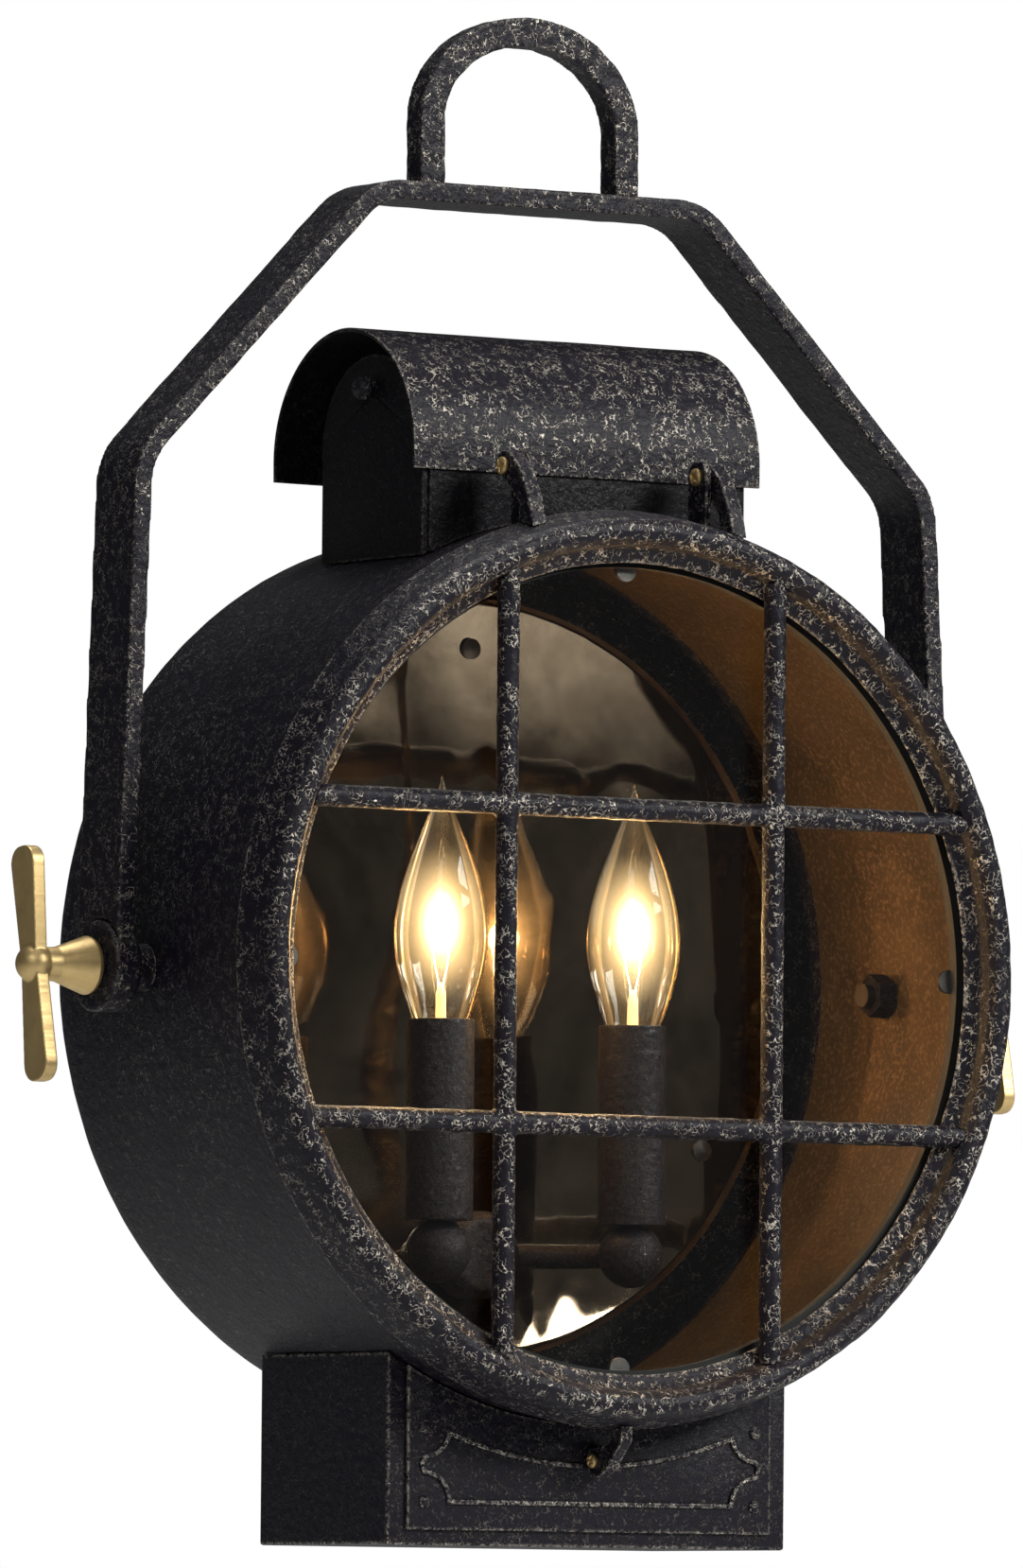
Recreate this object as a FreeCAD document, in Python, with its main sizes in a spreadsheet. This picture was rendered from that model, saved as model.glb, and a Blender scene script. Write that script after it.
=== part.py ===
import FreeCAD, Part
import math
import os
import re
import Sketcher
from FreeCAD import Placement, Rotation, Vector

# Ship lantern with a swinging yoke and a top-hinged glazed door, in millimetres.
# The wall is the plane Y = 0, the drum's axis runs along Y through X = 0 and Z = 0,
# the door faces -Y, X runs to the right as a person faces the door, and Z is up.

SIZES = [
    ("drum_radius", 152.0), ("drum_depth", 126.0), ("drum_wall", 2.5), ("rear_round", 13.0),
    ("rear_opening", 118.0), ("plate_radius", 130.0), ("plate_thick", 2.5),
    ("vent_side", 10.0), ("vent_inset", 8.0), ("vent_low", 100.0), ("vent_high", 160.0),
    ("drain_side", 20.0), ("drain_inset", 12.0), ("drain_low", 160.0), ("drain_high", 120.0),
    ("outlet_screw_pitch", 88.9), ("outlet_screw_hole", 2.4), ("grommet_outer", 11.0),
    ("grommet_bore", 6.0), ("grommet_seat", 0.5), ("grommet_lip", 2.0),
    ("plate_screw_ring", 124.0), ("plate_screw_radius", 2.0), ("plate_head_thick", 2.0),
    ("panel_radius", 130.0), ("panel_depth", 31.0), ("panel_thick", 1.5),
    ("standoff_ring", 112.0), ("standoff_radius", 5.0),
    ("panel_head", 3.6), ("panel_head_edge", 1.0), ("panel_head_thick", 2.0),
    ("door_gap", 0.3), ("rim_radius", 154.5), ("skirt_front", 150.9), ("skirt_depth", 140.5),
    ("bead_radius", 146.0), ("bead_depth", 139.0), ("bead_round", 5.0),
    ("bead_side", 0.55), ("bead_shoulder", 0.84), ("throat_step", 0.4), ("throat_back", 2.5),
    ("glass_sight", 135.5), ("glass_radius", 139.0), ("glass_front", 133.0), ("glass_thick", 3.0),
    ("seal_inner", 134.5), ("gasket_inner", 149.4), ("gasket_outer", 152.4), ("gasket_thick", 2.0),
    ("clip_inner", 130.0), ("clip_outer", 147.0), ("clip_width", 8.0), ("clip_thick", 1.5),
    ("clip_screw_ring", 143.5), ("clip_head", 2.8), ("clip_head_thick", 1.4),
    ("clip_shank", 5.0),
    ("bar_radius", 4.0), ("bar_depth", 137.3), ("bar_across", 54.0), ("bar_up", 53.0),
    ("bar_end_in", 1.5),
    ("hinge_depth", 118.0), ("hinge_height", 167.3), ("ear_thick", 6.0), ("ear_offset", 40.6),
    ("ear_head", 5.5), ("lug_thick", 2.4), ("lug_gap", 0.4), ("pin_radius", 2.0),
    ("running_fit", 0.05), ("screw_head", 3.0), ("screw_head_thick", 1.5),
    ("latch_depth", 115.5), ("latch_drop", 164.5), ("latch_head", 4.4), ("latch_thick", 4.6),
    ("latch_clear", 0.8), ("latch_screw_radius", 1.5), ("latch_screw_head", 2.4),
    ("latch_lug_up", 5.0), ("latch_lug_down", 3.4), ("latch_slot_room", 0.4),
    ("latch_room_half", 6.0), ("weld_start", 120.0), ("lug_start", 130.0),
    ("chimney_half", 65.6), ("chimney_rear", 40.2), ("chimney_front", 102.9),
    ("chimney_wall", 2.0), ("cheek_thick", 2.5), ("cheek_rear", 40.7), ("cheek_front", 101.9),
    ("cheek_spring", 176.0), ("hood_half", 70.5), ("hood_centre", 60.9), ("hood_radius", 43.5),
    ("hood_sheet", 1.5), ("hood_spring", 172.5), ("hood_bottom", 166.0),
    ("hood_past", 5.0), ("hood_trim", 60.0),
    ("rod_height", 195.0), ("rod_depth", 71.3), ("rod_radius", 2.5), ("rod_ball", 4.2),
    ("rod_ball_sunk", 0.6), ("rod_ball_reach", 12.0), ("rod_ball_room", 8.0),
    ("rod_past_cheek", 2.0), ("hanger_half", 5.0), ("hanger_reach", 4.0), ("hanger_across", 30.0),
    ("base_half", 80.5), ("base_rear", 31.0), ("base_front", 109.0), ("base_bottom", 193.4),
    ("base_wall", 2.0), ("base_top", 100.0), ("base_inner_top", 90.0),
    ("plaque_top", 130.0), ("cartouche_top", 140.0),
    ("plaque_half", 73.5), ("plaque_drop", 188.3), ("plaque_thick", 1.5),
    ("rivet_across", 66.8), ("cartouche_half", 64.6), ("cartouche_drop", 179.7),
    ("cartouche_arch", 165.4), ("cartouche_nose", 4.2),
    ("cartouche_line", 1.6), ("cartouche_raise", 1.0), ("rivet_upper", 154.0),
    ("rivet_lower", 179.0), ("rivet_radius", 2.2), ("rivet_rim", 0.5), ("rivet_rise", 1.6),
    ("scallop", 9.0),
    ("pivot_depth", 67.0), ("pivot_drop", 2.5), ("bar_thick", 6.35), ("bar_wide", 25.4),
    ("yoke_foot", 170.6), ("yoke_shoulder", 162.8), ("yoke_shoulder_up", 169.0),
    ("yoke_top", 67.0), ("yoke_top_up", 265.6), ("yoke_bend", 26.0), ("yoke_lean", 0.8),
    ("eye_radius", 15.5), ("eye_inner", 161.0), ("eye_outer", 172.0), ("stud_radius", 4.0),
    ("stud_inner", 139.5), ("stud_outer", 185.0), ("nut_thick", 6.5), ("nut_corner", 7.5),
    ("nut_bore_past", 10.0), ("spacer_radius", 8.0), ("spacer_sunk", 4.0),
    ("loop_half", 44.6), ("loop_bar", 10.0), ("loop_leg", 22.0), ("loop_rise", 37.4),
    ("cone_large", 9.9), ("cone_small", 5.8), ("cone_length", 14.5), ("cone_round", 2.5),
    ("hub_radius", 6.4), ("hub_out", 22.5), ("wing_span", 39.5), ("wing_root", 4.6),
    ("wing_tip", 7.3), ("wing_thick", 4.8), ("wing_turn", -8.0),
    ("cone_edge", 0.6), ("cone_neck_in", 0.5), ("wing_bore_back", 10.0),
    ("candle_across", 39.1), ("candle_depth", 75.0), ("candle_bottom", 84.0),
    ("candle_top", 16.3), ("sleeve_radius", 11.6), ("sleeve_wall", 1.2),
    ("ball_radius", 11.0), ("ball_drop", 94.2), ("arm_radius", 4.2), ("lamp_hub_radius", 15.0),
    ("lamp_hub_bevel", 3.0), ("ball_trim", 20.0), ("socket_shoulder", 4.0), ("cap_round", 3.0),
    ("lamp_hub_front", 46.0), ("socket_radius", 8.8), ("socket_bore", 6.6), ("socket_top", 31.0),
    ("cap_radius", 6.5), ("cap_bottom", 50.0), ("cap_top", 30.0),
    ("bulb_radius", 15.9), ("bulb_tip", 66.0), ("bulb_belly", 8.0), ("bulb_skin", 0.9),
    ("stem_foot", 3.6), ("stem_neck", 2.0), ("stem_height", 26.0), ("filament_radius", 0.6),
    ("filament_height", 20.0),
]

FORWARD = Rotation(Vector(1, 0, 0), 90)       # turns local Z towards the door, -Y
RIGHTWARD = Rotation(Vector(0, 1, 0), 90)     # turns local Z towards +X
LEFTWARD = Rotation(Vector(0, 1, 0), -90)     # turns local Z towards -X
UPRIGHT = Rotation()
SIDES = (("left", -1), ("right", 1))
DIAGONALS = ((-1, -1), (-1, 1), (1, -1), (1, 1))
BULB_STEPS = 18
BULB_BELLY_SHARE = 0.39          # how much of the outline lies below the widest point
BULB_NECK_CURVE = 1.6            # a larger number keeps the neck slim for longer
BULB_LEAST = 0.6                 # the smallest radius on the outline before its tip
ARM_BEND_SHARE = 0.72            # how far out along a lamp arm its bend lies
ARM_BEND_OUT = 6                 # how far forward of the hub that bend lies
BULB_FLAME_CURVE = 0.7           # a smaller number keeps the flame full for longer

doc = FreeCAD.newDocument("ShipLantern")
size = dict(SIZES)
nodes = []


def make_sheet():
    """The driving dimensions, one per row: name in column A, value in column B."""
    sheet = doc.addObject("Spreadsheet::Sheet", "Sizes")
    for row, (name, value) in enumerate(SIZES, 1):
        sheet.set("A%d" % row, name)
        sheet.set("B%d" % row, str(value))
        sheet.setAlias("B%d" % row, name)
    doc.recompute()


def formula(text):
    """Point each size named in a formula at the sheet."""
    def link(match):
        word = match.group(0)
        return "Sizes." + word if word in size else word
    return re.sub(r"[a-z][a-z_]*", link, str(text))


def bind(thing, **formulas):
    for name, text in formulas.items():
        thing.setExpression(name, formula(text))


def place(thing, x="0", y="0", z="0", turn=UPRIGHT):
    thing.Placement = Placement(Vector(), turn)
    for axis, text in (("x", x), ("y", y), ("z", z)):
        thing.setExpression("Placement.Base." + axis, formula(text))
    return thing


def cylinder(name, radius, height, x="0", y="0", z="0", turn=UPRIGHT):
    thing = doc.addObject("Part::Cylinder", name)
    bind(thing, Radius=radius, Height=height)
    return place(thing, x, y, z, turn)


def box(name, x_range, y_range, z_range):
    thing = doc.addObject("Part::Box", name)
    spans = ["(%s) - (%s)" % (high, low) for low, high in (x_range, y_range, z_range)]
    bind(thing, Length=spans[0], Width=spans[1], Height=spans[2])
    return place(thing, x_range[0], y_range[0], z_range[0])


def sphere(name, radius, x="0", y="0", z="0"):
    thing = doc.addObject("Part::Sphere", name)
    bind(thing, Radius=radius)
    return place(thing, x, y, z)


def cut(name, base, *tools):
    """Take each tool away from the base, one after the other."""
    for count, tool in enumerate(tools, 1):
        thing = doc.addObject("Part::Cut", name if count == len(tools) else "%s_cut%d" % (name, count))
        thing.Base = base
        thing.Tool = tool
        base = thing
    return base


def fuse(name, *things):
    joined = doc.addObject("Part::MultiFuse", name)
    joined.Shapes = list(things)
    return joined


def common(name, first, second):
    thing = doc.addObject("Part::Common", name)
    thing.Base = first
    thing.Tool = second
    return thing


def group(name, *things):
    """Several identical solids that share one node."""
    together = doc.addObject("Part::Compound", name)
    together.Links = list(things)
    return together


def node(thing, label):
    thing.Label = label
    nodes.append(thing)
    return thing


def profile(body, plane_role, points):
    """A closed outline of straight lines, each corner held to its two formulas."""
    sketch = body.newObject("Sketcher::SketchObject", body.Name + "_outline")
    plane = [item for item in body.Origin.OriginFeatures if item.Role == plane_role][0]
    sketch.AttachmentSupport = [(plane, "")]
    sketch.MapMode = "FlatFace"
    corners = [Vector(*[value_of(text) for text in point]) for point in points]
    count = len(corners)
    for index, corner in enumerate(corners):
        sketch.addGeometry(Part.LineSegment(corner, corners[(index + 1) % count]), False)
    for index in range(count):
        sketch.addConstraint(Sketcher.Constraint("Coincident", index, 2, (index + 1) % count, 1))
    for index, point in enumerate(points):
        for kind, axis, text in (("DistanceX", -2, point[0]), ("DistanceY", -1, point[1])):
            if str(text) == "0":
                sketch.addConstraint(Sketcher.Constraint("PointOnObject", index, 1, axis))
                continue
            held = sketch.addConstraint(Sketcher.Constraint(kind, -1, 1, index, 1, value_of(text)))
            sketch.setExpression("Constraints[%d]" % held, formula(text))
    return sketch


def value_of(text):
    """The number that a formula gives with the sheet's values, for a sketch's first guess."""
    def number(match):
        word = match.group(0)
        return "(%r)" % size[word] if word in size else word
    return FreeCAD.Units.parseQuantity(re.sub(r"[a-z][a-z_]*", number, str(text))).Value


def turned(name, points, x="0", y="0", z="0", turn=UPRIGHT):
    """A body turned about its own Z from an outline of (radius, height) corners."""
    body = doc.addObject("PartDesign::Body", name)
    sketch = profile(body, "XZ_Plane", points)
    revolution = body.newObject("PartDesign::Revolution", name + "_turn")
    revolution.Profile = sketch
    revolution.ReferenceAxis = (sketch, ["V_Axis"])
    revolution.Angle = 360
    return place(body, x, y, z, turn)


def padded(name, plane_role, points, thickness, x="0", y="0", z="0"):
    """A plate with the given outline, its thickness centred on the outline's plane."""
    body = doc.addObject("PartDesign::Body", name)
    sketch = profile(body, plane_role, points)
    pad = body.newObject("PartDesign::Pad", name + "_pad")
    pad.Profile = sketch
    pad.Midplane = True
    bind(pad, Length=thickness)
    return place(body, x, y, z)


def rounded(body, radius, chosen):
    """Fillet the edges of a body's last feature that the test picks out."""
    doc.recompute()
    last = body.Tip
    names = ["Edge%d" % number for number, edge in enumerate(last.Shape.Edges, 1) if chosen(edge)]
    fillet = body.newObject("PartDesign::Fillet", "%s_round%d" % (body.Name, len(body.Group)))
    fillet.Base = (last, names)
    bind(fillet, Radius=radius)
    return body


def ring_edge(radius, height):
    """Picks circular edges of one radius at one height along a turned body's axis."""
    def chosen(edge):
        curve = edge.Curve
        if not isinstance(curve, Part.Circle):
            return False
        return abs(curve.Radius - radius) < 0.01 and abs(curve.Center.z - height) < 0.01
    return chosen


def minus(text):
    return "-(%s)" % text


def forward_box(name, half, depth_range, z_range, centre="0"):
    """A box centred on a plane of X, between two depths in front of the wall."""
    x_range = ("(%s) - (%s)" % (centre, half), "(%s) + (%s)" % (centre, half))
    return box(name, x_range, (minus(depth_range[1]), minus(depth_range[0])), z_range)


def outline_yz(points):
    """Outline corners given as (depth in front of the wall, height) for a sketch on YZ."""
    return [(minus(depth), height) for depth, height in points]


# ---------------------------------------------------------------- drum and its back

def make_drum():
    shell = turned("drum_turned", [
        ("rear_opening", "plate_thick"), ("drum_radius", "plate_thick"),
        ("drum_radius", "drum_depth"), ("drum_radius - drum_wall", "drum_depth"),
        ("drum_radius - drum_wall", "plate_thick + drum_wall"),
        ("rear_opening", "plate_thick + drum_wall")], turn=FORWARD)
    rounded(shell, "rear_round", ring_edge(size["drum_radius"], size["plate_thick"]))
    inner = size["drum_radius"] - size["drum_wall"]
    behind = size["plate_thick"] + size["drum_wall"]
    rounded(shell, "rear_round - drum_wall", ring_edge(inner, behind))
    vent = forward_box("chimney_opening", "chimney_half - vent_side",
                       ("chimney_rear + vent_inset", "chimney_front - vent_inset"),
                       ("vent_low", "vent_high"))
    drain = forward_box("base_opening", "base_half - drain_side",
                        ("base_rear + drain_inset", "base_front - drain_inset"),
                        ("-drain_low", "-drain_high"))
    cross = cylinder("stud_holes", "stud_radius", "2 * drum_radius + 20", "-drum_radius - 10",
                     "-pivot_depth", "-pivot_drop", RIGHTWARD)
    screws = []
    for number, (sx, sz) in enumerate(DIAGONALS):
        reach = "plate_screw_ring * %.8f" % math.sqrt(0.5)
        screws.append(cylinder("flange_hole%d" % number, "plate_screw_radius", "drum_wall + 2",
                               "%d * %s" % (sx, reach), "1 - plate_thick",
                               "%d * %s" % (sz, reach), FORWARD))
    node(cut("drum_shell_solid", shell, vent, drain, cross, *screws), "drum_shell")


def make_wall_plate():
    disc = cylinder("plate_disc", "plate_radius", "plate_thick", turn=FORWARD)
    throat = "grommet_outer - grommet_lip"
    holes = [cylinder("plate_centre_hole", throat, "plate_thick + 2", "0", "1", "0", FORWARD)]
    for side, sign in SIDES:
        holes.append(cylinder("outlet_hole_" + side, "outlet_screw_hole", "plate_thick + 2",
                              "%d * outlet_screw_pitch / 2" % sign, "1", "0", FORWARD))
    for number, (sx, sz) in enumerate(DIAGONALS):
        reach = "plate_screw_ring * %.8f" % math.sqrt(0.5)
        holes.append(cylinder("plate_hole%d" % number, "plate_screw_radius", "plate_thick + 2",
                              "%d * %s" % (sx, reach), "1", "%d * %s" % (sz, reach), FORWARD))
    node(cut("wall_plate_solid", disc, *holes), "wall_plate")
    screws = []
    for number, (sx, sz) in enumerate(DIAGONALS):
        reach = "plate_screw_ring * %.8f" % math.sqrt(0.5)
        spot = ("%d * %s" % (sx, reach), "%d * %s" % (sz, reach))
        shank = cylinder("plate_shank%d" % number, "plate_screw_radius", "drum_wall + plate_thick",
                         spot[0], "0", spot[1], FORWARD)
        head = cylinder("plate_head%d" % number, "plate_screw_radius * 2", "plate_head_thick", spot[0],
                        "-drum_wall - plate_thick", spot[1], FORWARD)
        screws.append(fuse("plate_screw%d" % number, shank, head))
    node(group("plate_screw_set", *screws), "plate_screws")
    grommet = turned("grommet_turned", [
        ("grommet_bore", "grommet_seat"), (throat, "grommet_seat"), (throat, "plate_thick"),
        ("grommet_outer", "plate_thick"), ("grommet_outer", "plate_thick + grommet_lip"),
        ("grommet_bore", "plate_thick + grommet_lip")], turn=FORWARD)
    node(grommet, "wire_grommet")


def make_mirror_panel():
    disc = cylinder("panel_disc", "panel_radius", "panel_thick", "0", "-panel_depth", "0", FORWARD)
    wires = cylinder("panel_wire_hole", "grommet_bore", "panel_thick + 2", "0", "1 - panel_depth",
                     "-ball_drop", FORWARD)
    holes = [wires]
    pillars = []
    screws = []
    front = "panel_depth + panel_thick"
    for number in range(3):
        angle = math.radians(90 + 120 * number)
        x = "standoff_ring * %.8f" % math.cos(angle)
        z = "standoff_ring * %.8f" % math.sin(angle)
        holes.append(cylinder("panel_hole%d" % number, "pin_radius", "panel_thick + 2", x,
                              "1 - panel_depth", z, FORWARD))
        pillars.append(cylinder("standoff%d" % number, "standoff_radius",
                                "panel_depth - plate_thick", x, "-plate_thick", z, FORWARD))
        shank = cylinder("panel_shank%d" % number, "pin_radius", "panel_thick", x,
                         "-panel_depth", z, FORWARD)
        head = turned("panel_head%d" % number, [
            ("0", "0"), ("panel_head", "0"), ("panel_head", "panel_head_edge"),
            ("0", "panel_head_thick")], x, minus(front), z, FORWARD)
        screws.append(fuse("panel_screw%d" % number, shank, head))
    node(cut("mirror_panel_solid", disc, *holes), "mirror_panel")
    node(group("standoff_set", *pillars), "panel_standoffs")
    node(group("panel_screw_set", *screws), "panel_screws")


# ---------------------------------------------------------------- lamp holders and bulbs

def make_lamp_hub():
    back = "panel_depth + panel_thick"
    tall = "lamp_hub_front - (%s)" % back
    hub = turned("lamp_hub", [
        ("0", "0"), ("lamp_hub_radius", "0"), ("lamp_hub_radius", tall + " - lamp_hub_bevel"),
        ("lamp_hub_radius - lamp_hub_bevel", tall), ("0", tall)],
        "0", minus(back), "-ball_drop", FORWARD)
    return node(hub, "lamp_hub")


def arm_solid(sign):
    """A round arm that leaves the hub sideways and bends forward into its ball."""
    height = -size["ball_drop"]
    middle_depth = (size["panel_depth"] + size["panel_thick"] + size["lamp_hub_front"]) / 2
    start = Vector(0, -middle_depth, height)
    bend = Vector(sign * size["candle_across"] * ARM_BEND_SHARE, -middle_depth - ARM_BEND_OUT, height)
    end = Vector(sign * size["candle_across"], -size["candle_depth"], height)
    path = Part.Wire([Part.Arc(start, bend, end).toShape()])
    ring = Part.Circle(start, path.Edges[0].tangentAt(path.Edges[0].FirstParameter),
                       size["arm_radius"])
    return Part.Wire([ring.toShape()]), path


def make_lamps(hub):
    sockets = []
    caps = []
    for side, sign in SIDES:
        x = "%d * candle_across" % sign
        y = "-candle_depth"
        ball = sphere("ball_round_" + side, "ball_radius", x, y, "-ball_drop")
        top = "-candle_bottom"
        above = box("above_ball_" + side, (x + " - ball_trim", x + " + ball_trim"),
                    (y + " - ball_trim", y + " + ball_trim"), (top, top + " + ball_trim"))
        ball = node(cut("ball_solid_" + side, ball, above), "arm_ball_" + side)
        ring, path = arm_solid(sign)
        rod = doc.addObject("Part::Feature", "arm_rod_" + side)
        rod.Shape = path.makePipeShell([ring], True, True)
        node(cut("arm_solid_" + side, rod, hub, ball), "lamp_arm_" + side)
        bore = "sleeve_radius - sleeve_wall"
        sleeve = turned("sleeve_turned_" + side, [
            (bore, "0"), ("sleeve_radius", "0"), ("sleeve_radius", "candle_bottom - candle_top"),
            (bore, "candle_bottom - candle_top")], x, y, top)
        node(sleeve, "candle_sleeve_" + side)
        sockets.append(turned("socket_" + side, [
            ("0", "0"), (bore, "0"), (bore, "socket_shoulder"), ("socket_radius", "socket_shoulder"),
            ("socket_radius", "candle_bottom - socket_top"),
            ("socket_bore", "candle_bottom - socket_top"),
            ("socket_bore", "candle_bottom - cap_bottom"),
            ("0", "candle_bottom - cap_bottom")], x, y, top))
        caps.append(turned("cap_" + side, [
            ("0", "0"), ("cap_round", "0"), ("cap_radius", "cap_round"),
            ("cap_radius", "cap_bottom - cap_top"),
            ("0", "cap_bottom - cap_top")], x, y, "-cap_bottom"))
        make_bulb(side, x, y)
    node(group("socket_set", *sockets), "lamp_sockets")
    node(group("cap_set", *caps), "bulb_caps")


def bulb_outline(skin):
    """Half of a flame-shaped bulb from its neck to its tip, in from the glass by the skin."""
    points = []
    low = -size["cap_top"]
    high = size["bulb_tip"]
    belly = size["bulb_belly"]
    neck = size["cap_radius"]
    widest = size["bulb_radius"]
    for step in range(BULB_STEPS + 1):
        share = step / BULB_STEPS
        if share < BULB_BELLY_SHARE:
            rise = share / BULB_BELLY_SHARE
            radius = neck + (widest - neck) * math.sin(rise * math.pi / 2) ** BULB_NECK_CURVE
            height = low + (belly - low) * rise
        else:
            rise = (share - BULB_BELLY_SHARE) / (1 - BULB_BELLY_SHARE)
            height = belly + (high - belly) * rise
            radius = widest * ((1 + math.cos(rise * math.pi)) / 2) ** BULB_FLAME_CURVE
        points.append(Vector(max(radius - skin, BULB_LEAST), 0, height))
    return points


def bulb_solid(skin, close):
    """The bulb's outline splined, closed to the axis and turned about Z."""
    points = bulb_outline(skin)
    points[-1] = Vector(0, 0, size["bulb_tip"] - close)
    curve = Part.BSplineCurve()
    curve.interpolate(points)
    low = Vector(0, 0, points[0].z)
    edges = [curve.toShape(), Part.LineSegment(points[-1], low).toShape(),
             Part.LineSegment(low, points[0]).toShape()]
    return Part.Face(Part.Wire(edges)).revolve(Vector(), Vector(0, 0, 1), 360)


def make_bulb(side, x, y):
    """The hollow glass, and the glass stem and filament that stand in it."""
    skin = size["bulb_skin"]
    envelope = doc.addObject("Part::Feature", "bulb_glass_solid_" + side)
    hollow = bulb_solid(skin, skin)
    foot = Part.makeCylinder(size["cap_radius"] - skin, 1, Vector(0, 0, -size["cap_top"] - 0.5))
    envelope.Shape = bulb_solid(0, 0).cut(hollow).cut(foot)
    place(envelope, x, y)
    node(envelope, "bulb_glass_" + side)
    stem = turned("stem_" + side, [
        ("0", "0"), ("stem_foot", "0"), ("stem_neck", "stem_height / 2"),
        ("stem_neck * 0.7", "stem_height"), ("0", "stem_height")], x, y, "-cap_top")
    wire = turned("filament_rod_" + side, [
        ("0", "0"), ("filament_radius", "0"), ("filament_radius", "filament_height"),
        ("0", "filament_height")], x, y, "stem_height - cap_top")
    node(fuse("filament_solid_" + side, stem, wire), "filament_" + side)


# ---------------------------------------------------------------- chimney and hood

def drum_blank(name):
    """The drum's outer cylinder as a solid, to shape what is welded onto it."""
    return cylinder(name, "drum_radius", "drum_depth", turn=FORWARD)


def make_chimney():
    inside = "chimney_half - cheek_thick"
    for label, low, high in (("front", "chimney_front - chimney_wall", "chimney_front"),
                             ("rear", "chimney_rear", "chimney_rear + chimney_wall")):
        plate = forward_box("chimney_plate_" + label, inside, (low, high), ("weld_start", "hood_spring"))
        node(cut("chimney_solid_" + label, plate, drum_blank("drum_under_" + label)),
             "chimney_wall_" + label)
    arch_radius = "(cheek_front - cheek_rear) / 2"
    for side, sign in SIDES:
        middle = "%d * (chimney_half - cheek_thick / 2)" % sign
        plate = forward_box("cheek_plate_" + side, "cheek_thick / 2",
                            ("cheek_rear", "cheek_front"), ("weld_start", "cheek_spring"), middle)
        start = "(%s) - cheek_thick / 2" % middle
        arch = cylinder("cheek_arch_" + side, arch_radius, "cheek_thick", start,
                        "-(cheek_front + cheek_rear) / 2", "cheek_spring", RIGHTWARD)
        hole = cylinder("cheek_rod_hole_" + side, "rod_radius", "cheek_thick + 2", start + " - 1",
                        "-rod_depth", "rod_height", RIGHTWARD)
        joined = fuse("cheek_blank_" + side, plate, arch)
        node(cut("cheek_solid_" + side, joined, drum_blank("drum_under_cheek_" + side), hole),
             "chimney_cheek_" + side)


def hood_shell(name, radius, half):
    """A half-round top with short straight sides, solid through."""
    roll = cylinder(name + "_roll", radius, "2 * (%s)" % half, "-(%s)" % half, "-hood_centre",
                    "hood_spring", RIGHTWARD)
    sides = forward_box(name + "_sides", half,
                        ("hood_centre - (%s)" % radius, "hood_centre + (%s)" % radius),
                        ("hood_bottom", "hood_spring"))
    below = forward_box(name + "_below", "(%s) + hood_past" % half,
                        ("hood_centre - (%s) - hood_past" % radius,
                         "hood_centre + (%s) + hood_past" % radius),
                        ("hood_bottom - hood_trim", "hood_bottom"))
    return cut(name, fuse(name + "_blank", roll, sides), below)


def make_hood():
    outside = hood_shell("hood_outside", "hood_radius", "hood_half")
    inside = hood_shell("hood_inside", "hood_radius - hood_sheet", "hood_half + hood_past")
    node(cut("hood_solid", outside, inside), "vent_hood")
    length = "2 * (chimney_half + rod_past_cheek)"
    rod = cylinder("rod_round", "rod_radius", length, "-chimney_half - rod_past_cheek",
                   "-rod_depth", "rod_height", RIGHTWARD)
    rod = node(rod, "hood_tie_rod")
    balls = []
    for side, sign in SIDES:
        x = "%d * (chimney_half + rod_ball - rod_ball_sunk)" % sign
        ball = sphere("rod_ball_round_" + side, "rod_ball", x, "-rod_depth", "rod_height")
        span = ("chimney_half", "chimney_half + rod_ball_reach")
        if sign < 0:
            span = ("-chimney_half - rod_ball_reach", "-chimney_half")
        room = box("rod_ball_room_" + side, span,
                   ("-rod_depth - rod_ball_room", "-rod_depth + rod_ball_room"),
                   ("rod_height - rod_ball_room", "rod_height + rod_ball_room"))
        half = common("rod_ball_flat_" + side, ball, room)
        balls.append(cut("rod_ball_solid_" + side, half, rod))
    node(group("rod_ball_set", *balls), "tie_rod_nuts")
    hangers = []
    for side, sign in SIDES:
        strap = forward_box("hanger_strap_" + side, "hanger_half",
                            ("rod_depth - hanger_reach", "rod_depth + hanger_reach"),
                            ("rod_height - hanger_half", "hood_spring + hood_radius"),
                            "%d * hanger_across" % sign)
        kept = common("hanger_kept_" + side, strap, hood_shell("hanger_hood_" + side,
                      "hood_radius - hood_sheet", "hood_half"))
        hangers.append(cut("hanger_" + side, kept, rod))
    node(group("hanger_set", *hangers), "hood_hangers")


# ---------------------------------------------------------------- base box and its plaque

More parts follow.
